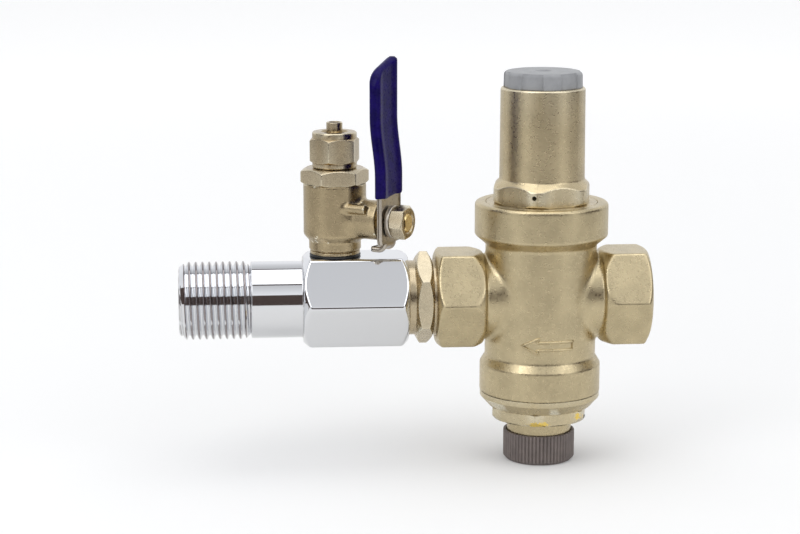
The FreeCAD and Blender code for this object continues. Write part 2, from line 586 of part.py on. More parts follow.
PIECES = {
    "prv_body": prv_body(), "bonnet": bonnet(), "bonnet_seal": bonnet_seal(),
    "seat_ring": seat_ring(), "piston": piston(), "piston_o_ring": piston_o_ring(),
    "piston_stem_o_ring": piston_stem_o_ring(), "valve_disc": valve_disc(),
    "seat_gasket": seat_gasket(), "disc_screw": disc_screw(),
    "regulating_spring": regulating_spring(), "spring_plate": spring_plate(),
    "adjusting_screw": adjusting_screw(), "top_cap": top_cap(),
    "bottom_plug": bottom_plug(), "bottom_plug_o_ring": bottom_plug_o_ring(),
    "gauge_port_seal": gauge_port_seal(), "gauge_port_cap": gauge_port_cap(),
    "hex_nipple": hex_nipple(), "adapter_body": adapter_body(),
    "valve_base_o_ring": valve_base_o_ring(), "ball_valve_body": ball_valve_body(),
    "ball_seat_lower": ball_seat(False), "ball_seat_upper": ball_seat(True), "ball": ball(),
    "valve_stem": valve_stem(), "stem_thrust_washer": stem_thrust_washer(),
    "stem_o_rings": stem_o_rings(), "lever_plate": lever_plate(), "lever_grip": lever_grip(),
    "lock_washer": lock_washer(), "lever_nut": lever_nut(), "end_connector": end_connector(),
    "end_connector_seal": end_connector_seal(), "compression_nut": compression_nut(),
}
for name, shape in PIECES.items():
    save(name, shape)
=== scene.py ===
import json
import math

import bmesh
import bpy
import numpy as np
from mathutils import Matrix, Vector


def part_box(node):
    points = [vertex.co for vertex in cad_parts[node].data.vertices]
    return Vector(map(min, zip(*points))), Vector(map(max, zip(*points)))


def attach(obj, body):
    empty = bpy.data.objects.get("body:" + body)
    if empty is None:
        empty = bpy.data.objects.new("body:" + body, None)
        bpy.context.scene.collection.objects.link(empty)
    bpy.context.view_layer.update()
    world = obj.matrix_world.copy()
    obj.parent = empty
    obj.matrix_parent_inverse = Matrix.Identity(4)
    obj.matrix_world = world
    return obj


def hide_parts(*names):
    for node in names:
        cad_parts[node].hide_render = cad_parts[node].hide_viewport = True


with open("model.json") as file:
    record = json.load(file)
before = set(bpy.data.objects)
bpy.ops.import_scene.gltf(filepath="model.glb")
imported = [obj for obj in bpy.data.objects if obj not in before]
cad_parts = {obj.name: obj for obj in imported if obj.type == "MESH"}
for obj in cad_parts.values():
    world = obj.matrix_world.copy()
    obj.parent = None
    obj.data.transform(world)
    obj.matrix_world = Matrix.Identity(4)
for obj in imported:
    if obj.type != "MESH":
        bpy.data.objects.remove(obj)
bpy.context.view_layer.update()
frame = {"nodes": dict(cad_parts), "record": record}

import openvdb
from mathutils import Matrix, Vector

# Lengths below are in millimetres in the row frame; MM turns them into Blender's metres.
MM = 0.001

# ---------------- places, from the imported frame


def low(node):
    """Lowest corner of a CAD node, in millimetres."""
    return [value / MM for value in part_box(node)[0]]


def high(node):
    """Highest corner of a CAD node, in millimetres."""
    return [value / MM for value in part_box(node)[1]]


def middle(node, axis):
    """Middle of a CAD node along one axis (0, 1 or 2), in millimetres."""
    return (low(node)[axis] + high(node)[axis]) / 2


MOUNTS = {mount["name"]: mount for mount in frame["record"]["mounts"]}
JOINTS = {joint["name"]: joint for joint in frame["record"]["behaviour"]["joints"]}
VALVE_X = middle("bonnet", 0)  # spring axis of the reducing valve
BRANCH_X = middle("compression_nut", 0)  # axis of the ball valve
STEM_Z = JOINTS["lever_turn"]["pos_m"][2] / MM
STEM_AXIS = -Vector(JOINTS["lever_turn"]["axis"])
STEM_TURN = math.atan2(STEM_AXIS.y, STEM_AXIS.x)
PORT_FACE = -low("prv_body")[0] / 2  # from the spring axis to a port's mouth
THREAD_CREST = MOUNTS["outlet_thread"]["dims"]["r_mm"]
THREAD_ROOT = MOUNTS["inlet_port"]["dims"]["r_mm"]
PORT_DEPTH = MOUNTS["inlet_port"]["dims"]["length_mm"]
THREAD_PITCH = 25.4 / 14  # 14 turns to the inch
BODY_TOP, BODY_BOTTOM = high("prv_body")[2], low("prv_body")[2]

ON_VALVE = Matrix.Translation((VALVE_X, 0, 0))
ON_BRANCH = Matrix.Translation((BRANCH_X, 0, 0))
ON_PIPE = Matrix.Rotation(math.radians(120), 4, Vector((1, 1, 1)))  # Z onto X, X onto Y
ON_STEM = (Matrix.Translation((BRANCH_X, 0, STEM_Z)) @ Matrix.Rotation(STEM_TURN, 4, "Z"))
ALONG_STEM = ON_STEM @ ON_PIPE  # a turned piece's Z runs out along the stem


# ---------------- mesh tools
def arc_points(before, corner, after, fillet, steps=4):
    """Points of a small arc that rounds one corner of an outline."""
    before, corner, after = (Vector(p[:2]) for p in (before, corner, after))
    to_before, to_after = before - corner, after - corner
    if fillet <= 0 or min(to_before.length, to_after.length) < 1e-6:
        return [tuple(corner)]
    opening = to_before.angle(to_after)
    if opening > math.radians(176):
        return [tuple(corner)]
    trim = min(fillet / math.tan(opening / 2), 0.45 * to_before.length, 0.45 * to_after.length)
    start, end = corner + to_before.normalized() * trim, corner + to_after.normalized() * trim
    points = []
    for step in range(steps + 1):
        t = step / steps
        weight = math.sin(opening / 2)  # the rational weight that makes the curve an arc
        total = (1 - t) ** 2 + 2 * weight * t * (1 - t) + t * t
        point = ((1 - t) ** 2 * start + 2 * weight * t * (1 - t) * corner + t * t * end) / total
        points.append(tuple(point))
    return points


def rounded(outline, closed, edge=0.12):
    """(place, radius[, fillet]) corners with each corner rounded; the default fillet is edge."""
    out, count = [], len(outline)
    for i, corner in enumerate(outline):
        fillet = corner[2] if len(corner) > 2 else edge
        if not closed and i in (0, count - 1):
            out.append(tuple(corner[:2]))
        else:
            out += arc_points(outline[i - 1], corner, outline[(i + 1) % count], fillet)
    return out


def hexagon_outline(flats, corner_r, corner_deg, across=9):
    """Points (angle, radius) of a hexagon with rounded corners."""
    apothem = flats / 2
    half = apothem * math.tan(math.radians(30)) - corner_r * math.tan(math.radians(30))
    points = []
    for side in range(6):
        turn = math.radians(corner_deg + 30 + 60 * side)
        c, s = math.cos(turn), math.sin(turn)
        for step in range(across):
            along = half * (2 * step / (across - 1) - 1)
            points.append((c * apothem - s * along, s * apothem + c * along))
        centre_turn = turn + math.radians(30)
        centre = (apothem - corner_r) / math.cos(math.radians(30))
        for step in range(1, 5):
            angle = turn + math.radians(60) * step / 5
            points.append((math.cos(centre_turn) * centre + math.cos(angle) * corner_r,
                           math.sin(centre_turn) * centre + math.sin(angle) * corner_r))
    return [(math.atan2(y, x), math.hypot(x, y)) for x, y in points]


def even_angles(count):
    return [2 * math.pi * i / count for i in range(count)]


def polar(angle, radius, place):
    """A point from its angle and radius about the Z axis and its place along it."""
    return math.cos(angle) * radius, math.sin(angle) * radius, place


def ring_at(angles, place, radius):
    """One ring of points; radius may be one number or one per angle."""
    radii = radius if isinstance(radius, list) else [radius] * len(angles)
    return [Vector(polar(angle, r, place)) for angle, r in zip(angles, radii)]


def turned_rings(angles, outline, depth_at=None, dents=()):
    """Rings of a turned outline; a point on the axis becomes a single point.

    With depth_at, a function of the radius, each point moves in by that depth times its dent.
    """
    rings = []
    for place, radius in outline:
        if radius < 1e-6:
            rings.append([Vector((0, 0, place))])
        elif depth_at:
            depth = depth_at(radius)
            rings.append(ring_at(angles, place, [radius - depth * dent for dent in dents]))
        else:
            rings.append(ring_at(angles, place, radius))
    return rings


def hexagon_rings(outline, start, end, start_r, end_r, slopes, soft=0.15):
    """Rings over a hexagon whose corners are coned off at both ends, with softened arrises."""
    def coned(face, face_r, slope, inward):
        """From the end face out to the cone's edge and a little way down the flats."""
        tangent = math.tan(math.radians(slope))
        rings = [[], [], [], []]
        for angle, radius in outline:
            inner = min(face_r, radius - soft)
            depth = max(0.0, radius - face_r) * tangent
            back = min(soft, 0.45 * (radius - inner))
            cone_r, cone = radius - back, face + inward * max(0.0, depth - back * tangent)
            edge, flat = face + inward * depth, face + inward * (depth + soft)
            corners = [(inner, face), (cone_r, cone), (0.25 * cone_r + 0.75 * radius,
                       0.25 * cone + 0.5 * edge + 0.25 * flat), (radius, flat)]
            for ring, (r, place) in zip(rings, corners):
                ring.append(Vector(polar(angle, r, place)))
        return rings

    return coned(start, start_r, slopes[0], 1) + coned(end, end_r, slopes[1], -1)[::-1]


def skin(rings, closed, capped=False):
    """Quads between neighbouring rings; closed joins the last to the first, capped fills both."""
    bm = bmesh.new()
    rows = [[bm.verts.new(point) for point in ring] for ring in rings]
    for one, other in zip(rows, rows[1:] + rows[:1] if closed else rows[1:]):
        size = max(len(one), len(other))
        for i in range(size):
            j = (i + 1) % size
            corners = dict.fromkeys((one[i % len(one)], one[j % len(one)],
                                     other[j % len(other)], other[i % len(other)]))
            if len(corners) > 2:
                bm.faces.new(list(corners))
    if capped:
        bm.faces.new(rows[0])
        bm.faces.new(rows[-1])
    return bm


def hexagon_bar(outline, before, band, after):
    """A turned solid with a hexagon stretch between the two turned runs that close round it.

    band holds hexagon_rings' start, end, start_r, end_r, slopes and soft.
    """
    angles = [a for a, _ in outline]
    hexagon = hexagon_rings(outline, *band)
    if before[-1][0] > (band[0] + band[1]) / 2:
        hexagon.reverse()
    first = turned_rings(angles, rounded(before, False))
    last = turned_rings(angles, rounded(after, False))[:-1]
    return skin(first + hexagon + last, True)


def finish_mesh(bm, name, matrix, smooth_deg=40, weigh=True):
    """Turns a bmesh in millimetres into a placed, smooth-shaded object in metres."""
    bmesh.ops.remove_doubles(bm, verts=bm.verts, dist=1e-5)
    bmesh.ops.dissolve_degenerate(bm, edges=bm.edges, dist=1e-5)
    bmesh.ops.recalc_face_normals(bm, faces=bm.faces)
    mesh = bpy.data.meshes.new(name)
    bm.to_mesh(mesh)
    bm.free()
    mesh.transform(Matrix.Scale(MM, 4) @ matrix)
    mesh.shade_smooth()
    mesh.set_sharp_from_angle(angle=math.radians(smooth_deg))
    piece = bpy.data.objects.new(name, mesh)
    bpy.context.scene.collection.objects.link(piece)
    if weigh:
        weighted = piece.modifiers.new("weighted", "WEIGHTED_NORMAL")
        weighted.weight, weighted.keep_sharp = 60, True
    return piece


def merge(bm, other):
    """Adds another bmesh's shell to bm."""
    mesh = bpy.data.meshes.new("part")
    other.to_mesh(mesh)
    other.free()
    bm.from_mesh(mesh)
    bpy.data.meshes.remove(mesh)
    return bm


def settle(piece, body, slot_name, material, *nodes):
    """Gives a new piece its material and its body, and hides the CAD nodes that it stands for."""
    piece.data.materials.append(material)
    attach(piece, body)
    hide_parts(*nodes)


def thread_shell(span, radii, crest_at, leads, mouth=0.0, count=160):
    """A tube whose one wall is a true helical thread on the Z axis, cut square at both ends.

    span is its (start, end) and radii its (crest, root, plain wall). A crest crosses angle 0 at
    crest_at. leads are the depths of the cones at the two ends, and mouth takes the end cones that
    much beyond the root.
    """
    start, end = span
    crest, root, other_r = radii
    flank = abs(crest - root) * math.tan(math.radians(27.5))
    flat = THREAD_PITCH / 2 - flank
    round_share = 0.22  # share of a flank taken by each rounded corner
    outward = 1 if root < crest else -1

    def wall(place):
        """Radius of the thread's profile at a place measured along one pitch."""
        u = place % THREAD_PITCH
        if u > THREAD_PITCH / 2:
            u = THREAD_PITCH - u  # the profile is symmetric about a crest
        t = min(max((u - flat / 2) / flank, 0.0), 1.0)
        eased = t * t * (3 - 2 * t)
        return crest + (root - crest) * (round_share * eased + (1 - round_share) * t)

    def limited(place, angle):
        """Radius of the thread at a place and angle, cut back by the cones at its ends."""
        radius = wall(place - crest_at - THREAD_PITCH * angle / (2 * math.pi))
        for depth, lead in zip((place - start, end - place), leads):
            if lead and depth < lead:
                limit = root - outward * mouth + (crest - root + outward * mouth) * depth / lead
                radius = min(radius, limit) if outward > 0 else max(radius, limit)
        return radius

    steps = 16
    rows = int((end - start) / THREAD_PITCH * steps) + 2 * steps
    bm = bmesh.new()
    grid = []
    for i in range(count + 1):
        angle = 2 * math.pi * i / count
        column = []
        for j in range(rows + 1):
            place = start + THREAD_PITCH * (j / steps - 1 + i / count)
            place = min(max(place, start), end)
            column.append(bm.verts.new(polar(angle, limited(place, angle), place)))
        grid.append(column)
    for i in range(count):
        for j in range(rows):
            corners = [grid[i][j], grid[i + 1][j], grid[i + 1][j + 1], grid[i][j + 1]]
            places = {round(v.co.z, 6) for v in corners}
            if len(places) > 1:
                bm.faces.new(corners)
    angles = even_angles(count)
    first, last = (ring_at(angles, place, [limited(place, angle) for angle in angles])
                   for place in (start, end))
    walls = [ring_at(angles, place, other_r) for place in (start, end)]
    merge(bm, skin([first, *walls, last], False))
    bmesh.ops.remove_doubles(bm, verts=bm.verts, dist=1e-4)
    loose = [v for v in bm.verts if not v.link_faces]
    bmesh.ops.delete(bm, geom=loose, context="VERTS")
    return bm


# ---------------- solid fields, for the forgings
def polygon_field(radius, place, outline):
    """Signed distance to a closed outline of (place, radius) corners; negative inside."""
    best = np.full(radius.shape, 1e9, np.float32)
    inside = np.zeros(radius.shape, bool)
    count = len(outline)
    for i in range(count):
        (p0, r0), (p1, r1) = outline[i], outline[(i + 1) % count]
        dp, dr = p1 - p0, r1 - r0
        along = np.clip(((place - p0) * dp + (radius - r0) * dr) / (dp * dp + dr * dr), 0, 1)
        best = np.minimum(best, (place - p0 - along * dp) ** 2 + (radius - r0 - along * dr) ** 2)
        if dr:
            crosses = (r0 > radius) != (r1 > radius)
            inside ^= crosses & (place < p0 + (radius - r0) * dp / dr)
    distance = np.sqrt(best)
    return np.where(inside, -distance, distance)


def smooth_union(a, b, reach):
    """Union of two fields with a fillet of about that reach."""
    blend = np.clip(0.5 + 0.5 * (b - a) / reach, 0, 1)
    return b + (a - b) * blend - reach * blend * (1 - blend)


def hexagon_field(y, z, flats, corner_r):
    """Distance to a hexagon bar along X with rounded corners and two flats square to Z."""
    apothem = flats / 2 - corner_r
    fold_y, fold_z = -math.sin(math.radians(60)), math.cos(math.radians(60))
    y, z = np.abs(y), np.abs(z)
    across = np.minimum(fold_y * y + fold_z * z, 0)
    y, z = y - 2 * across * fold_y, z - 2 * across * fold_z
    half_side = apothem * math.tan(math.radians(30))
    y, z = y - np.clip(y, -half_side, half_side), z - apothem
    return np.hypot(y, z) * np.sign(z) - corner_r


def both(*fields, reach=0.3):
    """Intersection of several fields, its edges eased by reach."""
    whole = fields[0]
    for other in fields[1:]:
        whole = -smooth_union(-whole, -other, reach)
    return whole


def bar_field(across, along, radius, start, end):
    """Distance to a round bar, from its radial distance and its place along its axis."""
    return np.maximum(across - radius, np.maximum(start - along, along - end))


def soft_bar_field(across, along, radius, start, end, edge):
    """Distance to a round bar with rounded end edges."""
    out, beyond = across - radius + edge, np.maximum(start - along, along - end) + edge
    outside = np.hypot(np.maximum(out, 0), np.maximum(beyond, 0))
    return outside + np.minimum(np.maximum(out, beyond), 0) - edge


def field_mesh(field, low_corner, high_corner, step, name):
    """Meshes a field (a function of x, y, z arrays) and settles its points on the surface."""
    counts = [int(math.ceil((h - l) / step)) + 1 for l, h in zip(low_corner, high_corner)]
    axes = [np.arange(n, dtype=np.float32) * step + l for n, l in zip(counts, low_corner)]
    values = np.empty(counts, np.float32)
    slab = 24
    for start in range(0, counts[0], slab):
        x, y, z = np.meshgrid(axes[0][start:start + slab], axes[1], axes[2], indexing="ij")
        values[start:start + slab] = field(x, y, z)
    grid = openvdb.FloatGrid(3 * step)
    grid.copyFromArray(np.clip(values, -3 * step, 3 * step))
    points, triangles, quads = grid.convertToPolygons(isovalue=0.0, adaptivity=0.0)
    points = points.astype(np.float32) * step + np.array(low_corner, np.float32)
    nudge = 0.02
    for _ in range(3):
        here = field(*points.T)
        slope = np.stack([field(*(points + by).T) - field(*(points - by).T)
                          for by in nudge * np.eye(3, dtype=np.float32)], 1) / (2 * nudge)
        size = np.maximum((slope ** 2).sum(1), 0.2)
        move = np.clip(here / size, -0.5 * step, 0.5 * step)[:, None] * slope
        points = points - move
    mesh = bpy.data.meshes.new(name)
    faces = [tuple(f) for f in triangles] + [tuple(f) for f in quads]
    mesh.from_pydata([tuple(p) for p in points], [], faces)
    bm = bmesh.new()
    bm.from_mesh(mesh)
    bpy.data.meshes.remove(mesh)
    return bm


# ---------------- materials
def new_material(name):
    """An empty node material; returns (material, its node tree, its Principled shader)."""
    material = bpy.data.materials.new(name)
    material.use_nodes = True
    return material, material.node_tree, material.node_tree.nodes["Principled BSDF"]


def noise(tree, size_mm, detail=3.0, rough=0.55, stretch=None):
    """Noise whose features are about size_mm wide; stretch squeezes it by axis."""
    place = tree.nodes.new("ShaderNodeTexCoord").outputs["Object"]
    texture = tree.nodes.new("ShaderNodeTexNoise")
    texture.inputs["Scale"].default_value = 1 / (size_mm * MM)
    texture.inputs["Detail"].default_value = detail
    texture.inputs["Roughness"].default_value = rough
    if stretch:
        place = vector_step(tree, "MULTIPLY", place, stretch)
    tree.links.new(place, texture.inputs["Vector"])
    return texture.outputs["Fac"]


def spread(tree, value, lowest, highest, start=0.35, end=0.65):
    """Maps a value's start..end to lowest..highest."""
    node = tree.nodes.new("ShaderNodeMapRange")
    for end_name, limit in (("From Min", start), ("From Max", end), ("To Min", lowest),
                            ("To Max", highest)):
        node.inputs[end_name].default_value = limit
    tree.links.new(value, node.inputs["Value"])
    return node.outputs["Result"]


def tint(tree, share, base, colour):
    """Mixes from base, which is a colour or a socket, to a colour by a 0..1 share."""
    node = tree.nodes.new("ShaderNodeMix")
    node.data_type = "RGBA"
    if isinstance(base, tuple):
        node.inputs["A"].default_value = (*base, 1)
    else:
        tree.links.new(base, node.inputs["A"])
    node.inputs["B"].default_value = (*colour, 1)
    tree.links.new(share, node.inputs["Factor"])
    return node.outputs["Result"]


def combine(tree, operation, one, other):
    """A math node on two sockets."""
    node = tree.nodes.new("ShaderNodeMath")
    node.operation = operation
    tree.links.new(one, node.inputs[0])
    tree.links.new(other, node.inputs[1])
    return node.outputs[0]


def vector_step(tree, operation, vector, by=None, output="Vector"):
    """A vector math node on one socket and, if it is given, one fixed vector."""
    node = tree.nodes.new("ShaderNodeVectorMath")
    node.operation = operation
    tree.links.new(vector, node.inputs[0])
    if by:
        node.inputs[1].default_value = by
    return node.outputs[output]


def bump(tree, height, depth_mm, normal=None):
    """Bump whose full height is depth_mm."""
    node = tree.nodes.new("ShaderNodeBump")
    node.inputs["Distance"].default_value = depth_mm * MM
    node.inputs["Strength"].default_value = 1.0
    tree.links.new(height, node.inputs["Height"])
    if normal is not None:
        tree.links.new(normal, node.inputs["Normal"])
    return node.outputs["Normal"]


def metal(name, colour, raised_colour, roughness, grain_mm, grain_depth, patch=0.06, brushed=None,
          brush_depth=0.0, wear_and_painted_light=(0.515, 0.56)):
    """Plated or bare metal: fine grain, slow patches of sheen and a change of colour by
    pointiness.

    wear_and_painted_light is where pointiness, 0.5 on a flat face and more on an edge, starts and
    ends the change to raised_colour; None leaves it out. A pale raised_colour lightens the edges,
    partly as wear and partly as a painted highlight; with a span that ends below 0.5, a dark
    colour stays in the hollows as painted shade.
    """
    material, tree, shader = new_material(name)
    shader.inputs["Metallic"].default_value = 1.0
    patches = spread(tree, noise(tree, 6.0), 0.0, 1.0)
    base = tint(tree, patches, tuple(channel * 0.86 for channel in colour), colour)
    # Pointiness mix: paler edges are partly wear and partly a painted highlight; a dark colour
    # kept in hollows is painted shade.
    if wear_and_painted_light:
        pointiness = tree.nodes.new("ShaderNodeNewGeometry").outputs["Pointiness"]
        base = tint(tree, spread(tree, pointiness, 0.0, 1.0, *wear_and_painted_light), base, raised_colour)
    tree.links.new(base, shader.inputs["Base Color"])
    mottle = noise(tree, 0.9, 4.0)
    tree.links.new(spread(tree, mottle, roughness - patch, roughness + patch),
                   shader.inputs["Roughness"])
    normal = bump(tree, noise(tree, grain_mm, 2.5, 0.6), grain_depth)
    if brushed:
        normal = bump(tree, noise(tree, 1.0, 3.0, 0.6, brushed), brush_depth, normal)
    tree.links.new(normal, shader.inputs["Normal"])
    return material


def plastic(name, colour, darker, roughness, grain_mm, grain_depth, coat=0.0, specular=0.5):
    """Moulded plastic, vinyl or rubber: slight mottling and a fine moulded grain."""
    material, tree, shader = new_material(name)
    patches = spread(tree, noise(tree, 2.5, 4.0), 0.0, 1.0)
    tree.links.new(tint(tree, patches, darker, colour), shader.inputs["Base Color"])
    tree.links.new(spread(tree, noise(tree, 0.7), roughness - 0.05, roughness + 0.05),
                   shader.inputs["Roughness"])
    tree.links.new(bump(tree, noise(tree, grain_mm, 2.0), grain_depth), shader.inputs["Normal"])
    shader.inputs["Specular IOR Level"].default_value = specular
    shader.inputs["Coat Weight"].default_value = coat
    shader.inputs["Coat Roughness"].default_value = 0.12
    return material


def plug_metal():
    """The bottom plug's nickel, with yellow brass showing where a spanner has rubbed it."""
    material = metal("nickel_plug", NICKEL, NICKEL_WEAR_AND_HIGHLIGHT, 0.30, 0.35, 0.012)
    tree = material.node_tree
    paint = tree.nodes["Principled BSDF"].inputs["Base Color"]
    plated = paint.links[0].from_socket
    place = tree.nodes.new("ShaderNodeTexCoord").outputs["Object"]
    rubbed = None
    for centre, reach in PLUG_RUBS:
        apart = vector_step(tree, "SUBTRACT", place, [c * MM for c in centre])
        scaled = vector_step(tree, "DIVIDE", apart, [r * MM for r in reach])
        ragged = spread(tree, noise(tree, 0.6), -0.4, 0.4, 0.3, 0.7)
        away = combine(tree, "ADD", vector_step(tree, "LENGTH", scaled, output="Value"), ragged)
        spot = spread(tree, away, 1.0, 0.0, 0.75, 1.05)
        rubbed = spot if rubbed is None else combine(tree, "MAXIMUM", rubbed, spot)
    tree.links.new(tint(tree, rubbed, plated, (0.90, 0.66, 0.17)), paint)
    return material


# The nickel's pale edge colour is partly wear and partly a painted highlight.
NICKEL, NICKEL_WEAR_AND_HIGHLIGHT = (0.63, 0.53, 0.335), (0.86, 0.80, 0.63)
PLUG_RUBS = [((VALVE_X - 1.9, -12.6, -32.9), (3.0, 2.2, 0.75)),
             ((VALVE_X + 9.0, -9.5, -31.6), (1.0, 1.2, 1.0)),
             ((VALVE_X + 10.5, -8.0, -31.9), (0.8, 0.8, 0.6))]

CAST_NICKEL = metal("nickel_cast", NICKEL, NICKEL_WEAR_AND_HIGHLIGHT, 0.32, 0.40, 0.055, 0.07, wear_and_painted_light=None)
TURNED_NICKEL = metal("nickel_turned", NICKEL, NICKEL_WEAR_AND_HIGHLIGHT, 0.27, 0.30, 0.008, 0.05,
                      (0.6, 0.6, 9.0), 0.006)
VALVE_NICKEL = metal("nickel_valve", (0.49, 0.395, 0.245), NICKEL_WEAR_AND_HIGHLIGHT, 0.30, 0.36, 0.038, 0.06,
                     wear_and_painted_light=(0.54, 0.60))
BLASTED_NICKEL = metal("nickel_blasted", (0.63, 0.525, 0.335), NICKEL_WEAR_AND_HIGHLIGHT, 0.30, 0.32, 0.055,
                       0.05)
NUT_NICKEL = metal("nickel_nut", (0.50, 0.405, 0.265), NICKEL_WEAR_AND_HIGHLIGHT, 0.26, 0.30, 0.004, 0.05,
                   (0.5, 0.5, 7.0), 0.004)
PIPE_NICKEL = metal("nickel_nipple", (0.60, 0.50, 0.34), NICKEL_WEAR_AND_HIGHLIGHT, 0.28, 0.30, 0.008, 0.05,
                    (7.0, 0.5, 0.5), 0.010)
PLUG_NICKEL = plug_metal()
# chrome_plate's base colour (0.20, 0.155, 0.150) is painted shade: the thread grooves, where
# pointiness falls below 0.455, turn dark brown, while flats and crests take the chrome colour.
CHROME = metal("chrome_plate", (0.20, 0.155, 0.150), (0.80, 0.81, 0.835), 0.05, 0.9, 0.0006, 0.02,
               (5.0, 0.4, 0.4), 0.0005, (0.455, 0.495))
# These metals also lighten their edges by pointiness: partly wear, partly a painted highlight.
RAW_BRASS = metal("brass_bare", (0.80, 0.56, 0.20), (0.92, 0.72, 0.36), 0.30, 0.3, 0.01, 0.06)
STEEL = metal("lever_steel", (0.56, 0.51, 0.44), (0.80, 0.77, 0.70), 0.34, 0.35, 0.010, 0.07,
              (0.5, 0.5, 3.0), 0.006)
SPRING_STEEL = metal("spring_steel", (0.36, 0.36, 0.37), (0.6, 0.6, 0.6), 0.35, 0.3, 0.01, 0.06)
VINYL = plastic("vinyl_blue", (0.006, 0.001, 0.085), (0.003, 0.0006, 0.050), 0.30, 0.8, 0.010,
                0.02, 0.10)
LIGHT_PLASTIC = plastic("plastic_light_grey", (0.285, 0.29, 0.30), (0.245, 0.25, 0.26), 0.42,
                        0.30, 0.012)
DARK_PLASTIC = plastic("plastic_grey_brown", (0.188, 0.156, 0.144), (0.152, 0.126, 0.117), 0.50,
                       0.30, 0.015)
RUBBER = plastic("rubber_black", (0.012, 0.012, 0.012), (0.02, 0.02, 0.02), 0.45, 0.25, 0.008)
PTFE = plastic("ptfe_white", (0.82, 0.82, 0.80), (0.74, 0.74, 0.72), 0.45, 0.4, 0.006)


# ---------------- reducing valve body
BARREL_R, UPPER_COLLAR_R, LOWER_COLLAR_R = 15.05, 18.0, 16.4
PORT_BACK, NECK_R, PORT_FLATS = 16.0, 11.3, 25.0
SLEEVE_R = 11.1  # outside of the threaded sleeve in the inlet port
OUTLET_BORE_R, INLET_PASSAGE_R = 10.5, 6.0
BONNET_SOCKET_R, PLUG_SOCKET_R = 15.0, 13.5
WELL_INSIDE = -60  # closes an outline across the axis

BODY_OUTLINE = rounded([
    (BODY_BOTTOM, WELL_INSIDE), (BODY_BOTTOM, LOWER_COLLAR_R, 0.3), (-18.3, LOWER_COLLAR_R, 0.45),
    (-16.1, BARREL_R, 0.45), (14.6, BARREL_R, 1.0), (17.1, UPPER_COLLAR_R, 0.7),
    (BODY_TOP, UPPER_COLLAR_R, 0.9), (BODY_TOP, WELL_INSIDE)], True, 0)
BODY_BORES = [  # (radius, from, to) on the spring axis
    (7.0, -5.0, 3.0), (6.5, -8.0, -5.0), (4.5, 2.5, 8.5), (12.0, 8.0, 18.0),
    (BONNET_SOCKET_R, 17.0, 28.0), (12.0, -21.0, -8.0), (PLUG_SOCKET_R, -29.0, -20.5)]


def valve_body_field(x, y, z):
    """The forging with its bores; x, y and z are counted from the spring axis."""
    radius, about_pipe, side = np.hypot(x, y), np.hypot(y, z), np.abs(x)
    whole = polygon_field(radius, z, BODY_OUTLINE)
    neck = bar_field(about_pipe, side, NECK_R, -1, PORT_BACK + 6)
    whole = smooth_union(whole, neck, 1.4)
    front, back = math.radians(30), math.radians(55)
    front_cone = (side - PORT_FACE) * math.cos(front) + (about_pipe - 11.95) * math.sin(front)
    back_cone = (PORT_BACK - side) * math.cos(back) + (about_pipe - 12.5) * math.sin(back)
    port = both(hexagon_field(y, z, PORT_FLATS, 0.8), side - PORT_FACE, PORT_BACK - side,
                front_cone, back_cone, reach=0.5)
    whole = smooth_union(whole, port, 1.0)
    outlet_passage = np.maximum(np.abs(x + 13.5) - 4, np.abs(y) - 5)
    outlet_passage = np.maximum(outlet_passage, np.abs(z + 3) - 6.5)
    hollows = [
        outlet_passage,
        bar_field(about_pipe, x, INLET_PASSAGE_R, 0, 20),
        bar_field(about_pipe, x, SLEEVE_R - 0.2, PORT_FACE - PORT_DEPTH, 40),
        bar_field(about_pipe, x, OUTLET_BORE_R, -40, PORT_DEPTH - PORT_FACE)]
    hollows += [bar_field(radius, z, *bore) for bore in BODY_BORES]
    for hollow in hollows:
        whole = np.maximum(whole, -hollow)
    return whole


ARROW_TIP, ARROW_WING, ARROW_NECK, ARROW_TAIL, ARROW_LEVEL = -6.8, -2.4, -2.9, 7.0, -10.9
ARROW_HALF_HEAD, ARROW_HALF_SHAFT, ARROW_STEP = 2.2, 1.05, 0.5
RIDGE = [(-0.42, -0.25), (-0.34, 0.08), (-0.14, 0.36), (0.14, 0.36), (0.34, 0.08), (0.42, -0.25)]


def flow_arrow():
    """Low ridge in the outline of an arrow that lies on the barrel and points at the outlet."""
    corners = [(ARROW_TIP, 0), (ARROW_WING, ARROW_HALF_HEAD), (ARROW_NECK, ARROW_HALF_SHAFT),
               (ARROW_TAIL, ARROW_HALF_SHAFT), (ARROW_TAIL, -ARROW_HALF_SHAFT),
               (ARROW_NECK, -ARROW_HALF_SHAFT), (ARROW_WING, -ARROW_HALF_HEAD)]
    path = []
    for (x0, z0), (x1, z1) in zip(corners, corners[1:] + corners[:1]):
        steps = max(2, int(math.hypot(x1 - x0, z1 - z0) / ARROW_STEP))
        for step in range(steps):
            share = step / steps
            path.append((x0 + (x1 - x0) * share, z0 + (z1 - z0) * share + ARROW_LEVEL))
    rows = []
    for i, (x, z) in enumerate(path):
        (xa, za), (xb, zb) = path[i - 1], path[(i + 1) % len(path)]
        along = Vector((xb - xa, zb - za)).normalized()
        row = []
        for offset, height in RIDGE:
            px, pz = x - along.y * offset, z + along.x * offset
            row.append((px, -math.sqrt((BARREL_R + height) ** 2 - px * px), pz))
        rows.append(row)
    return skin(rows, True)


def build_valve_body():
    """The valve's forging, with its flow arrow and the threaded sleeve of the inlet port."""
    spare = 1.2
    body = field_mesh(valve_body_field, (-30, -19, BODY_BOTTOM - spare),
                      (30, 19, BODY_TOP + spare), 0.4, "prv_body_forging")
    merge(body, flow_arrow())
    sleeve = thread_shell((PORT_FACE - PORT_DEPTH, PORT_FACE - 0.02),
                          (THREAD_ROOT, THREAD_CREST, SLEEVE_R), 0, (0, 0.55), 0.1, 120)
    sleeve.transform(ON_PIPE)
    merge(body, sleeve)
    piece = finish_mesh(body, "prv_body_forging", ON_VALVE, 60, False)
    settle(piece, "root", "nickel_satin", CAST_NICKEL, "prv_body")


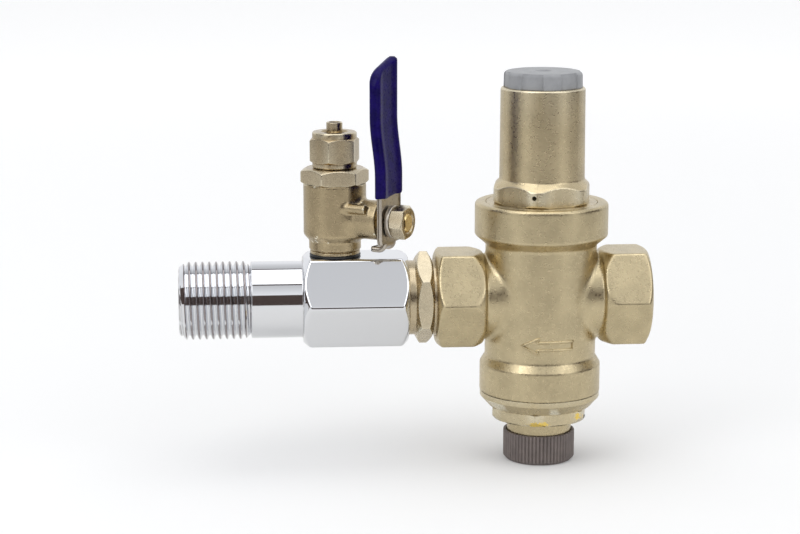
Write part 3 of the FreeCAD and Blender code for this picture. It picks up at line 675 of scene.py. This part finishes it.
# ---------------- bonnet, cap, plug and knob
BONNET_TOP, BONNET_BORE, BONNET_FOOT_R = high("bonnet")[2], 9.4, 13.6
BONNET_FLATS, BONNET_TURN, BONNET_SHOULDER, BONNET_SKIRT_R = 25.0, -43.0, 32.1, 14.95
VENT_TURN, VENT_LEVEL, VENT_R = -106.3, 28.8, 0.6
CAP_TOP, CAP_R, CAP_PLUG_R, CAP_PLUG_END = high("top_cap")[2], 10.6, 9.3, 53.0
CAP_PADS, PAD_WIDTH, PAD_DEPTH, PAD_START = 6, 34.0, 0.42, -132
PLUG_FLATS, PLUG_TURN, PLUG_CORNER_R, PLUG_HEX = 24.7, -90 - 12.6, 13.9, (-33.6, -30.25)
PLUG_FLANGE_R, PLUG_NECK_R, PLUG_SHOULDER, SPIGOT_R, SPIGOT_END = 16.3, 8.8, -39.0, 6.5, -44.0
KNOB_TOP, KNOB_BOTTOM = high("gauge_port_cap")[2], low("gauge_port_cap")[2]
KNOB_R, KNOB_RIBS, KNOB_RIB_STEPS, KNOB_GROOVE = 9.75, 60, 8, 0.42


def cut_away(piece, tool, matrix):
    """Cuts a bmesh tool, given in millimetres, out of a finished piece."""
    bmesh.ops.recalc_face_normals(tool, faces=tool.faces)
    mesh = bpy.data.meshes.new("tool")
    tool.to_mesh(mesh)
    tool.free()
    mesh.transform(Matrix.Scale(MM, 4) @ matrix)
    cutter = bpy.data.objects.new("tool", mesh)
    bpy.context.scene.collection.objects.link(cutter)
    cut = piece.modifiers.new("cut", "BOOLEAN")
    cut.operation, cut.object, cut.solver = "DIFFERENCE", cutter, "EXACT"
    bpy.context.view_layer.objects.active = piece
    bpy.ops.object.modifier_move_to_index(modifier="cut", index=0)
    bpy.ops.object.modifier_apply(modifier="cut")
    bpy.data.objects.remove(cutter)
    bpy.data.meshes.remove(mesh)


def plain_bar(radius, start, end, flats=None):
    """A round bar on the Z axis, to cut with; flats keeps it to that width along X."""
    angles = even_angles(48)
    if flats:
        radius = [min(radius, flats / 2 / max(abs(math.cos(a)), 1e-6)) for a in angles]
    return skin([[Vector((0, 0, start))], ring_at(angles, start, radius),
                 ring_at(angles, end, radius), [Vector((0, 0, end))]], False)


def trimmed_hexagon(flats, corner_r, corner_deg, widest):
    """A hexagon's outline with its corners turned down to a radius."""
    return [(a, min(r, widest)) for a, r in hexagon_outline(flats, corner_r, corner_deg)]


def build_bonnet():
    """Bonnet: skirt, hexagon foot with trimmed corners, coned shoulder and tapered barrel."""
    inside = 26.3
    bm = hexagon_bar(
        trimmed_hexagon(BONNET_FLATS, 0.35, BONNET_TURN, BONNET_FOOT_R),
        [(inside, BONNET_BORE), (18.0, BONNET_BORE), (18.0, BONNET_SKIRT_R),
         (BODY_TOP, BONNET_SKIRT_R), (BODY_TOP, 13.1)],
        (BODY_TOP, BONNET_SHOULDER, 13.1, 11.6, (45, 43.6), 0.3),
        [(BONNET_SHOULDER, 11.6), (32.6, 11.5, 0.4), (44, 11.42), (BONNET_TOP, 11.35, 0.9),
         (BONNET_TOP, 9.9, 0.1), (55.4, BONNET_BORE, 0.1), (inside, BONNET_BORE)])
    piece = finish_mesh(bm, "bonnet_housing", ON_VALVE, 40)
    vent = (ON_VALVE @ Matrix.Translation((0, 0, VENT_LEVEL))
            @ Matrix.Rotation(math.radians(VENT_TURN), 4, "Z")
            @ Matrix.Rotation(math.radians(90), 4, "Y"))
    cut_away(piece, plain_bar(VENT_R, 9.0, 14.5), vent)
    settle(piece, "root", "nickel_satin", BLASTED_NICKEL, "bonnet")


def build_top_cap():
    """Cap with six shallow side pads, a rounded rim and a dished middle."""
    angles = even_angles(240)
    ease = 0.8  # degrees over which a pad's side edges slope

    def inward(angle):
        """Share of the full pad depth at an angle."""
        into = (math.degrees(angle) - PAD_START) % (360 / CAP_PADS)
        return max(0.0, min(1.0, into / ease, (PAD_WIDTH - into) / ease))

    outside = rounded([
        (CAP_PLUG_END, 8.2), (CAP_PLUG_END, CAP_PLUG_R, 0.3), (BONNET_TOP, CAP_PLUG_R, 0.05),
        (BONNET_TOP, CAP_R, 0.15), (CAP_TOP, CAP_R - 0.1, 1.1), (CAP_TOP, 2.3, 0.4),
        (CAP_TOP - 0.45, 1.5, 0.4), (CAP_TOP - 0.45, 0)], False)
    inside = rounded([(58.9, 0), (58.9, 8.2, 0.4), (CAP_PLUG_END, 8.2)], False)
    rings = turned_rings(angles, outside,
                         lambda radius: PAD_DEPTH * max(0.0, min(1.0, (radius - 9.9) / 0.4)),
                         [inward(a) for a in angles])
    moulding = merge(skin(rings, False), skin(turned_rings(angles, inside), False))
    piece = finish_mesh(moulding, "top_cap_moulding", ON_VALVE, 35)
    settle(piece, "cap", "grey_plastic_light", LIGHT_PLASTIC, "top_cap")


def build_bottom_plug():
    """Flanged hexagon plug with its neck and the gauge port's spigot."""
    skirt_r, cup_r, cup_top, port_r = 13.45, 10.0, -30.6, 3.0
    low_end, high_end = PLUG_HEX
    bm = hexagon_bar(
        trimmed_hexagon(PLUG_FLATS, 0.25, PLUG_TURN, PLUG_CORNER_R),
        [(cup_top, cup_r), (-20.9, cup_r), (-20.9, skirt_r), (BODY_BOTTOM, skirt_r, 0.05),
         (BODY_BOTTOM - 0.03, PLUG_FLANGE_R, 0.05), (-27.5, PLUG_FLANGE_R, 0.2),
         (-30.0, 14.1, 0.15), (high_end, 13.6, 0.05)],
        (low_end, high_end, 12.75, 13.6, (50, 20), 0.12),
        [(low_end, 12.6), (low_end, PLUG_NECK_R, 0.25), (PLUG_SHOULDER, PLUG_NECK_R, 0.1),
         (PLUG_SHOULDER, SPIGOT_R, 0.1), (SPIGOT_END + 0.4, SPIGOT_R, 0.1),
         (SPIGOT_END, SPIGOT_R - 0.5, 0.1), (SPIGOT_END, port_r), (cup_top, port_r),
         (cup_top, cup_r)])
    piece = finish_mesh(bm, "bottom_plug_turned", ON_VALVE, 38)
    settle(piece, "root", "nickel_bright", PLUG_NICKEL, "bottom_plug")


def build_knob():
    """Knurled cap of the gauge port: rounded ribs round a cup."""
    cup_r, bore_r, cup_floor, bore_end = 9.0, 6.55, -39.2, -44.6
    angles = even_angles(KNOB_RIBS * KNOB_RIB_STEPS)
    wave = [min(1.0, 0.85 * (1 - math.cos(2 * math.pi * i / KNOB_RIB_STEPS)))
            for i in range(len(angles))]
    outline = rounded([
        (KNOB_BOTTOM, 0), (KNOB_BOTTOM, 8.9, 0.5), (KNOB_BOTTOM + 0.9, KNOB_R, 0.3),
        (KNOB_TOP, KNOB_R, 0.35), (KNOB_TOP, cup_r, 0.1), (cup_floor, cup_r),
        (cup_floor, bore_r), (bore_end, bore_r), (bore_end, 0)], False)
    rings = turned_rings(angles, outline,
                         lambda radius: KNOB_GROOVE * max(0.0, min(1.0, (radius - 9.06) / 0.55)),
                         [1 - w for w in wave])
    piece = finish_mesh(skin(rings, False), "gauge_port_knob", ON_VALVE, 50)
    settle(piece, "port_cap", "grey_plastic_dark", DARK_PLASTIC, "gauge_port_cap")


# ---------------- nipple and adapter
NIPPLE_HEX, NIPPLE_FLATS, NIPPLE_BORE = (VALVE_X - 34.3, VALVE_X - 29.9), 22.0, 7.0
NIPPLE_THREAD_R, NIPPLE_RELIEF_R, NIPPLE_END_R = 10.4, 10.05, 9.6
ADAPTER_END, ADAPTER_MOUTH = low("adapter_body")[0], high("adapter_body")[0]
SHANK_FROM, SHANK_R, ADAPTER_HEX_FROM = ADAPTER_END + 19.1, 10.3, VALVE_X - 64.6
ADAPTER_BORE, ADAPTER_FLATS, MOUTH_DEPTH = 7.2, 24.0, 11.2
SIDE_PORT_R = 4.9


def build_nipple():
    """Hexagon nipple; its screwed-in stretches are plain, as in the CAD."""
    left, right = NIPPLE_HEX
    left_end, right_end = left - 12.5, right + 11.3
    bm = hexagon_bar(
        hexagon_outline(NIPPLE_FLATS, 0.2, 30),
        [(left_end, NIPPLE_BORE), (left_end, NIPPLE_END_R), (left_end + 0.9, NIPPLE_THREAD_R),
         (left - 2.1, NIPPLE_THREAD_R, 0.05), (left - 1.9, NIPPLE_RELIEF_R, 0.1),
         (left - 0.3, NIPPLE_RELIEF_R, 0.25), (left, NIPPLE_THREAD_R, 0.1)],
        (left, right, 10.6, 10.6, (30, 30), 0.18),
        [(right, NIPPLE_THREAD_R), (right + 0.2, NIPPLE_RELIEF_R, 0.1),
         (right + 0.85, NIPPLE_RELIEF_R), (right + 0.95, NIPPLE_THREAD_R, 0.05),
         (right_end - 0.9, NIPPLE_THREAD_R), (right_end, NIPPLE_END_R), (right_end, NIPPLE_BORE),
         (left_end, NIPPLE_BORE)])
    piece = finish_mesh(bm, "hex_nipple_turned", ON_PIPE, 38)
    settle(piece, "root", "nipple_nickel", PIPE_NICKEL, "hex_nipple")


def build_adapter():
    """Chrome adapter: true helical thread, round shank, soft hexagon and its side port."""
    start, end, shoulder = ADAPTER_HEX_FROM, ADAPTER_MOUTH, SHANK_FROM - 0.02
    bar = hexagon_bar(
        hexagon_outline(ADAPTER_FLATS, 1.3, 0, 13),
        [(shoulder, ADAPTER_BORE), (shoulder, THREAD_ROOT - 0.3),
         (shoulder, THREAD_ROOT + 0.2, 0.1), (SHANK_FROM + 0.2, SHANK_R, 0.25),
         (start - 0.25, SHANK_R, 0.3), (start, 10.6, 0.2)],
        (start, end, 11.5, 11.5, (38, 38), 0.55),
        [(end, 10.9), (end, 10.45, 0.2), (end - MOUTH_DEPTH, 10.4),
         (end - MOUTH_DEPTH, ADAPTER_BORE), (shoulder, ADAPTER_BORE)])
    top_crest = ADAPTER_END + 2.7
    thread = thread_shell((ADAPTER_END, SHANK_FROM), (THREAD_CREST, THREAD_ROOT, ADAPTER_BORE),
                          top_crest - THREAD_PITCH / 4, (1.9, 1.5), 0.25)
    piece = finish_mesh(merge(bar, thread), "adapter_turned", ON_PIPE, 50)
    cut_away(piece, plain_bar(SIDE_PORT_R, 8.5, 14), ON_BRANCH)
    settle(piece, "root", "chrome", CHROME, "adapter_body")


# ---------------- ball valve
FLARE_TOP, VALVE_BARREL_R, VALVE_BARREL_TOP = 18.0, 8.4, 31.7
COLUMN_FOOT, COLUMN_R, BOSS_R, BOSS_END = 8.0, 6.95, 5.25, 14.4
COLUMN_OUTLINE = rounded([
    (COLUMN_FOOT, WELL_INSIDE), (COLUMN_FOOT, 4.3), (8.6, 4.85), (12.7, 4.85, 0.05), (12.7, 6.7),
    (13.5, 6.7), (13.6, 6.25), (13.9, 6.25), (14.0, COLUMN_R, 0.1), (16.3, COLUMN_R, 1.2),
    (FLARE_TOP, VALVE_BARREL_R, 1.4), (VALVE_BARREL_TOP, VALVE_BARREL_R, 0.35),
    (VALVE_BARREL_TOP, WELL_INSIDE)], True)
COLUMN_BORES = [(5.8, 17.4, 27.6), (2.5, 7.0, 18.0), (6.6, 27.0, 33.0)]  # (radius, from, to)
STEM_BORES = [(3.3, 0.0, 7.4), (2.55, 7.0, BOSS_END + 1)]
RIB_R, RIB_SIDE, RIB_RISE, RIB_START, RIB_END = 1.3, -4.9, 3.4, 4.0, 11.9
CONNECTOR_FLATS, CONNECTOR_TURN, CONNECTOR_TOP = 16.0, -90 - 25.4, 35.8
TUBE_NUT_FLATS, TUBE_NUT_TURN, TUBE_NUT_R, TUBE_NUT_HEX = 12.0, -90 - 15.8, 5.95, (37.25, 43.85)


def ball_valve_field(x, y, z):
    """Ball valve forging; x runs out along the stem, y across it, and z is up in the row frame."""
    radius, rise = np.hypot(x, y), z - STEM_Z
    about_stem = np.hypot(y, rise)
    boss = soft_bar_field(about_stem, x, BOSS_R, 0, BOSS_END, 0.35)
    whole = smooth_union(polygon_field(radius, z, COLUMN_OUTLINE), boss, 1.6)
    about_rib = np.hypot(y - RIB_SIDE, rise - RIB_RISE)
    rib = soft_bar_field(about_rib, x, RIB_R, RIB_START, RIB_END, 0.3)
    whole = smooth_union(whole, rib, 0.7)
    for bore in COLUMN_BORES:
        whole = np.maximum(whole, -bar_field(radius, z, *bore))
    for bore in STEM_BORES:
        whole = np.maximum(whole, -bar_field(about_stem, x, *bore))
    return whole


def build_ball_valve_body():
    """The ball valve's forging: column, flared barrel and stem boss with its rib."""
    reach = 9.2
    body = field_mesh(ball_valve_field, (-reach, -reach, COLUMN_FOOT - 0.6),
                      (BOSS_END + 1, reach, VALVE_BARREL_TOP + 0.7), 0.22, "ball_valve_forging")
    turn = ON_BRANCH @ Matrix.Rotation(STEM_TURN, 4, "Z")
    piece = finish_mesh(body, "ball_valve_forging", turn, 60, False)
    settle(piece, "root", "nickel_satin", VALVE_NICKEL, "ball_valve_body")


def build_connector():
    """Hexagon connector with its screwed ends and the tube insert, in one turned piece."""
    foot, bore_r, insert_end, insert_r, insert_bore = 27.6, 2.5, 48.0, 2.15, 1.5
    bm = hexagon_bar(
        hexagon_outline(CONNECTOR_FLATS, 0.3, CONNECTOR_TURN),
        [(foot, bore_r), (foot, 6.55), (30.6, 6.55), (30.6, 6.0), (VALVE_BARREL_TOP, 6.0),
         (VALVE_BARREL_TOP, 8.2)],
        (VALVE_BARREL_TOP, CONNECTOR_TOP, 8.45, 7.7, (30, 30), 0.16),
        [(CONNECTOR_TOP, 7.5), (CONNECTOR_TOP, 4.9), (40.8, 4.9), (42.0, insert_r),
         (insert_end, insert_r, 0.2), (insert_end, insert_bore, 0.15), (35.0, insert_bore),
         (34.0, bore_r), (foot, bore_r)])
    piece = finish_mesh(bm, "end_connector_turned", ON_BRANCH, 38)
    settle(piece, "root", "nickel_bright", NUT_NICKEL, "end_connector")


def build_tube_nut():
    """Tube nut: a hexagon with turned ends, chamfered mouth and bore."""
    bore_r, tube_r = 4.95, 3.25
    start, end = low("compression_nut")[2], high("compression_nut")[2]
    hex_start, hex_end = TUBE_NUT_HEX
    bm = hexagon_bar(
        hexagon_outline(TUBE_NUT_FLATS, 0.25, TUBE_NUT_TURN),
        [(start, bore_r), (start, TUBE_NUT_R, 0.35), (hex_start - 0.05, TUBE_NUT_R)],
        (hex_start, hex_end, 5.94, 5.94, (32, 32), 0.14),
        [(hex_end + 0.05, TUBE_NUT_R), (end, TUBE_NUT_R, 0.45), (end, 3.75, 0.1),
         (end - 0.55, tube_r), (43.0, tube_r), (42.2, bore_r), (start, bore_r)])
    piece = finish_mesh(bm, "tube_nut_turned", ON_BRANCH, 38)
    settle(piece, "tube_nut", "nickel_bright", NUT_NICKEL, "compression_nut")


# ---------------- lever
PLATE_BACK, PLATE_THICK, LEVER_INSET, LOCK_WASHER_THICK = 15.4, 1.5, 1.5, 1.2
BEND_FROM, BEND_TO, FOOT, GRIP_FOOT, LEVER_TIP, GRIP_TIP = 12.0, 28.0, -8.2, 6.3, 43.0, 44.0
PLATE_MIDDLE = PLATE_BACK + PLATE_THICK / 2
STRIP_HALF, TAB_HALF, FOOT_CORNER, BEND_R = 5.9, 3.0, 4.8, 1.0
STRIP_EDGES = {-1: 0.62, 1: 0.32}  # edge radius on the near side and on the far side
HOLE_R, HOLE_FLATS = 2.52, 3.84
GRIP_HALF, GRIP_SWELL, GRIP_SKIN, GRIP_ROWS, GRIP_COLUMNS = 6.35, 0.2, 0.72, 70, 64
WASHER_IN_R, WASHER_OUT_R, WASHER_STEPS = 2.6, 4.3, 90
QUARTER = math.radians(90)


def lever_place(w):
    """Where the strip's middle lies along the stem at height w: straight, an S-bend, straight."""
    t = min(max((w - BEND_FROM) / (BEND_TO - BEND_FROM), 0.0), 1.0)
    return PLATE_MIDDLE - LEVER_INSET * t * t * (3 - 2 * t)


def slanted_tip(near_top, far_top, near_r, far_r, half):
    """Top outline of the lever or its grip: height over the width, lower on the near side."""
    def top(v):
        height = near_top + (far_top - near_top) * (v + half) / (2 * half)
        for edge, fillet in ((v + half, near_r), (half - v, far_r)):
            if edge < fillet:
                height -= fillet - math.sqrt(max(0.0, fillet ** 2 - (fillet - edge) ** 2))
        return height
    return top


def lever_line():
    """The strip's middle line as (place along the stem, height, heading, half width)."""
    half_thick = PLATE_THICK / 2
    tab_start, tab_level, turn_r = PLATE_BACK - 3.2, FOOT + half_thick, BEND_R + half_thick
    line = []
    for share in np.linspace(0, 1, 5):
        place = tab_start + share * (PLATE_MIDDLE - turn_r - tab_start)
        line.append((place, tab_level, 0.0, TAB_HALF - 0.5 * max(0.0, 1 - share * 4) ** 2))
    for share in np.linspace(0, 1, 9)[1:]:
        angle = QUARTER * share
        height = tab_level + turn_r * (1 - math.cos(angle))
        line.append((PLATE_MIDDLE - turn_r + turn_r * math.sin(angle), height, angle, TAB_HALF))
    for height in np.linspace(tab_level + turn_r + 0.05, LEVER_TIP, 120):
        up, half = height - FOOT, STRIP_HALF
        if up < FOOT_CORNER:
            spread_out = math.sqrt(FOOT_CORNER ** 2 - (FOOT_CORNER - up) ** 2)
            half = max(TAB_HALF, STRIP_HALF - FOOT_CORNER + spread_out)
        slope = (lever_place(height + 0.1) - lever_place(height - 0.1)) / 0.2
        line.append((lever_place(height), height, QUARTER - math.atan(slope), half))
    return line


def build_lever_plate():
    """Bent steel strip: stop tab turned in at the foot, flatted hole, S-bend under the grip."""
    rows = []
    tip = slanted_tip(38.6, 42.9, 4.0, 1.6, STRIP_HALF)
    for place, height, heading, half in lever_line():
        row = []
        for side, towards in ((-1, 1), (1, 1), (1, -1), (-1, -1)):
            radius = STRIP_EDGES[side]
            for step in range(5):
                angle = QUARTER * step / 4
                if side * towards > 0:
                    angle = QUARTER - angle
                v = side * (half - radius + radius * math.sin(angle))
                depth = towards * (PLATE_THICK / 2 - radius + radius * math.cos(angle))
                x, w = place + depth * math.sin(heading), height - depth * math.cos(heading)
                row.append((x, v, min(w, tip(v))))
        rows.append(row)
    piece = finish_mesh(skin(rows, False, True), "lever_strip", ON_STEM, 35)
    cut_away(piece, plain_bar(HOLE_R, 10, 20, HOLE_FLATS), ALONG_STEM)
    settle(piece, "lever", "lever_steel", STEEL, "lever_plate")


def grip_section(share, w):
    """Offset (v, depth from the strip's middle) round the grip at height w."""
    half = GRIP_HALF + GRIP_SWELL * (w - GRIP_FOOT) / (GRIP_TIP - GRIP_FOOT)
    thick = PLATE_THICK / 2 + GRIP_SKIN
    c, s = math.cos(2 * math.pi * share), math.sin(2 * math.pi * share)
    v = half * math.copysign(abs(c) ** (2 / 5.0), c)
    depth = thick * math.copysign(abs(s) ** (2 / 2.6), s)
    lip = math.exp(-((abs(v) - 4.9) / 0.95) ** 2)
    hollow = math.exp(-(v / 3.5) ** 4)
    if depth > 0:
        return v, depth + 0.22 * lip - 0.42 * hollow * min(1.0, depth / thick)
    return v, depth - 0.12 * lip


def build_grip():
    """Dipped vinyl grip: it follows the strip, with soft lips each side of a shallow channel."""
    top = slanted_tip(39.4, GRIP_TIP - 0.2, 4.6, 2.2, 6.55)
    tip_round, foot_round = 0.9, 0.25
    rows = []
    for i in range(GRIP_ROWS + 1):
        row = []
        for j in range(GRIP_COLUMNS):
            share = (j + 0.5) / GRIP_COLUMNS
            v, depth = grip_section(share, GRIP_FOOT + (GRIP_TIP - GRIP_FOOT) * i / GRIP_ROWS)
            wave = 0.18 * math.sin(v * 0.9 + (1 if depth > 0 else 2))
            foot = GRIP_FOOT + 0.35 + 0.055 * (v + 6) + wave
            w = foot + (top(v) - foot) * i / GRIP_ROWS
            v, depth = grip_section(share, w)
            shrink, from_top = 1.0, top(v) - w
            if from_top < tip_round:
                shrink = math.sqrt(max(0.0, 1 - (1 - from_top / tip_round) ** 2)) * 0.62 + 0.38
            if w - foot < foot_round:
                shrink = 0.90 + 0.10 * (w - foot) / foot_round
            row.append((lever_place(w) + depth * shrink, v, w))
        rows.append(row)
    inner, hole_half = [], STRIP_HALF - 0.05
    for x, v, w in rows[0]:
        depth = math.copysign(PLATE_THICK / 2, x - lever_place(w))
        inner.append((lever_place(w) + depth, max(-hole_half, min(hole_half, v * 0.9)), w))
    bm = skin([inner] + rows, False)
    points = list(bm.verts)
    for row in (points[:GRIP_COLUMNS], points[-GRIP_COLUMNS:]):
        for k in range(GRIP_COLUMNS // 2 - 1):
            bm.faces.new([row[k], row[k + 1], row[-2 - k], row[-1 - k]])
    piece = finish_mesh(bm, "lever_grip_vinyl", ON_STEM, 60)
    settle(piece, "lever", "vinyl_blue", VINYL, "lever_grip")


def build_lock_washer():
    """Split spring washer: a square wire bent round, its two ends a little apart."""
    start, gap = PLATE_BACK + PLATE_THICK, math.radians(9)
    wire = rounded([(WASHER_IN_R, 0.0), (WASHER_OUT_R, 0.0), (WASHER_OUT_R, LOCK_WASHER_THICK),
                    (WASHER_IN_R, LOCK_WASHER_THICK)], True, 0.2)
    rows = []
    for i in range(WASHER_STEPS + 1):
        angle = gap + (2 * math.pi - 2 * gap) * i / WASHER_STEPS
        rows.append([polar(angle, r, start + p) for r, p in wire])
    turn = ALONG_STEM @ Matrix.Rotation(math.radians(75), 4, "Z")
    piece = finish_mesh(skin(rows, False, True), "lock_washer_split", turn, 35)
    settle(piece, "lever", "lever_steel", STEEL, "lock_washer")


def build_lever_nut():
    """Small pressed nut that holds the lever on its stem."""
    start = PLATE_BACK + PLATE_THICK + LOCK_WASHER_THICK
    end = start + 4.0
    bm = hexagon_bar(
        hexagon_outline(8.0, 0.15, 12),
        [(start + 0.4, HOLE_R), (start, 2.9), (start, 3.7)],
        (start, end, 3.9, 3.85, (30, 30), 0.1),
        [(end, 3.7), (end, 2.95), (end - 0.4, HOLE_R), (start + 0.4, HOLE_R)])
    piece = finish_mesh(bm, "lever_nut_pressed", ALONG_STEM, 38)
    settle(piece, "lever", "nickel_bright", NUT_NICKEL, "lever_nut")


for build in (build_valve_body, build_bonnet, build_top_cap, build_bottom_plug, build_knob,
              build_nipple, build_adapter, build_ball_valve_body, build_connector,
              build_tube_nut, build_lever_plate, build_grip, build_lock_washer, build_lever_nut):
    build()

# ---------------- CAD nodes that stay as they are
CAD_FINISHES = [
    (PTFE, "bonnet_seal", "ball_seat_lower", "ball_seat_upper", "stem_thrust_washer"),
    (TURNED_NICKEL, "seat_ring", "piston", "valve_disc", "disc_screw"),
    (RUBBER, "piston_o_ring", "piston_stem_o_ring", "seat_gasket", "bottom_plug_o_ring",
     "gauge_port_seal", "valve_base_o_ring", "stem_o_rings", "end_connector_seal"),
    (SPRING_STEEL, "regulating_spring", "spring_plate"),
    (RAW_BRASS, "adjusting_screw", "valve_stem"),
    (CHROME, "ball"),
]
for finish, *nodes in CAD_FINISHES:
    for node in nodes:
        carried = frame["nodes"][node].data
        carried.materials.clear()
        carried.materials.append(finish)
        carried.shade_smooth()
        carried.set_sharp_from_angle(angle=math.radians(30))

# ---------------- floor, lights and camera
CAMERA_TURN, CAMERA_RISE, CAMERA_REACH, CAMERA_LENS = -4.4, 11.3, 580.0, 96.7
AIM = Vector((VALVE_X - 38.3, 0.0, 8.4))
FLOOR_REACH, FLOOR_LEVEL = 3.0, KNOB_BOTTOM * MM
FLOOR_GREY, TABLE_GREY = (0.82, 0.82, 0.82), (0.74, 0.735, 0.72)
DARK_ROOM, CARD_REACH = (0.055, 0.036, 0.030), 900
CARDS = [  # (name, turns, rises), in degrees
    ("room_front", (-40, 40), (-11, 24)), ("room_left", (-112, -62), (-11, 24)),
    ("room_right", (62, 112), (-11, 24)), ("frame_front", (-35, 35), (54, 57)),
    ("frame_back", (145, 215), (61, 64))]


def around(turn_deg, rise_deg, reach):
    """A point at that distance from the aim point; a turn of 0 is straight in front, at -Y."""
    turn, rise = math.radians(turn_deg), math.radians(rise_deg)
    level = Vector((math.sin(turn), -math.cos(turn), 0)) * math.cos(rise)
    return (AIM + (level + Vector((0, 0, math.sin(rise)))) * reach) * MM


def set_up(name, points, faces, colour):
    """A piece of the stage in one matt colour, from points in metres."""
    matt, _, shader = new_material(name)
    shader.inputs["Base Color"].default_value = (*colour, 1)
    shader.inputs["Roughness"].default_value = 0.9
    mesh = bpy.data.meshes.new(name)
    mesh.from_pydata(points, [], faces)
    mesh.materials.append(matt)
    card = bpy.data.objects.new(name, mesh)
    bpy.context.scene.collection.objects.link(card)
    return card


def keep_to_reflections(card):
    """Hides a card from everything but reflections."""
    card.visible_camera = card.visible_diffuse = card.visible_shadow = False


def curtain(name, turns, rises):
    """A dark curved card round the object that shows only in reflections."""
    steps = 24
    points = []
    for i in range(steps + 1):
        turn = turns[0] + (turns[1] - turns[0]) * i / steps
        points += [around(turn, rise, CARD_REACH) for rise in rises]
    faces = [(2 * i, 2 * i + 2, 2 * i + 3, 2 * i + 1) for i in range(steps)]
    keep_to_reflections(set_up(name, points, faces, DARK_ROOM))


def lamp(name, place, size, radiance):
    """A soft box facing the aim point, with its size in millimetres."""
    light = bpy.data.lights.new(name, "AREA")
    light.shape, light.size, light.size_y = "RECTANGLE", size[0] * MM, size[1] * MM
    light.energy = radiance * math.pi * light.size * light.size_y
    holder = bpy.data.objects.new(name, light)
    bpy.context.scene.collection.objects.link(holder)
    holder.location = place
    holder.rotation_euler = (place - AIM * MM).to_track_quat("Z", "Y").to_euler()


def light_far_floor(material):
    """Lets the floor glow a little far from the object, where the lamps hardly reach it."""
    tree = material.node_tree
    place = tree.nodes.new("ShaderNodeTexCoord").outputs["Object"]
    away = vector_step(tree, "LENGTH", place, output="Value")
    shader = tree.nodes["Principled BSDF"]
    shader.inputs["Emission Color"].default_value = (1, 1, 1, 1)
    tree.links.new(spread(tree, away, 0.05, 0.32, 0.15, 0.95), shader.inputs["Emission Strength"])


FLOOR_CORNERS = [(x * FLOOR_REACH, y * FLOOR_REACH, FLOOR_LEVEL)
                 for x, y in ((-1, -1), (1, -1), (1, 1), (-1, 1))]
FLOOR = set_up("floor", FLOOR_CORNERS, [(0, 1, 2, 3)], FLOOR_GREY)
light_far_floor(FLOOR.data.materials[0])
FLOOR.visible_glossy = False
keep_to_reflections(set_up("table_in_reflections",
                           [(x, y, z + 0.05 * MM) for x, y, z in FLOOR_CORNERS],
                           [(0, 1, 2, 3)], TABLE_GREY))
for card_name, turns, rises in CARDS:
    curtain(card_name, turns, rises)
lamp("overhead", around(0, 86, 800), (900, 820), 1.25)
lamp("key_left", around(-48, 42, 900), (460, 460), 1.75)
lamp("fill_right", around(52, 34, 900), (460, 460), 1.0)

world = bpy.data.worlds.new("studio")
bpy.context.scene.world = world
world.use_nodes = True
sky = world.node_tree
direction = sky.nodes.new("ShaderNodeTexCoord")
axes = sky.nodes.new("ShaderNodeSeparateXYZ")
sky.links.new(direction.outputs["Generated"], axes.inputs[0])
sky.links.new(spread(sky, axes.outputs["Z"], 0.95, 0.62, 0.45, 0.85),
              sky.nodes["Background"].inputs["Strength"])
sky.nodes["Background"].inputs["Color"].default_value = (0.97, 0.98, 1.0, 1)
bpy.context.scene.view_settings.view_transform = "Standard"

camera_data = bpy.data.cameras.new("camera")
camera_data.lens, camera_data.sensor_width = CAMERA_LENS, 36.0
camera_data.clip_start, camera_data.clip_end = 0.01, 20.0
camera = bpy.data.objects.new("camera", camera_data)
bpy.context.scene.collection.objects.link(camera)
camera.location = around(CAMERA_TURN, CAMERA_RISE, CAMERA_REACH)
camera.rotation_euler = (AIM * MM - camera.location).to_track_quat("-Z", "Y").to_euler()
bpy.context.scene.camera = camera
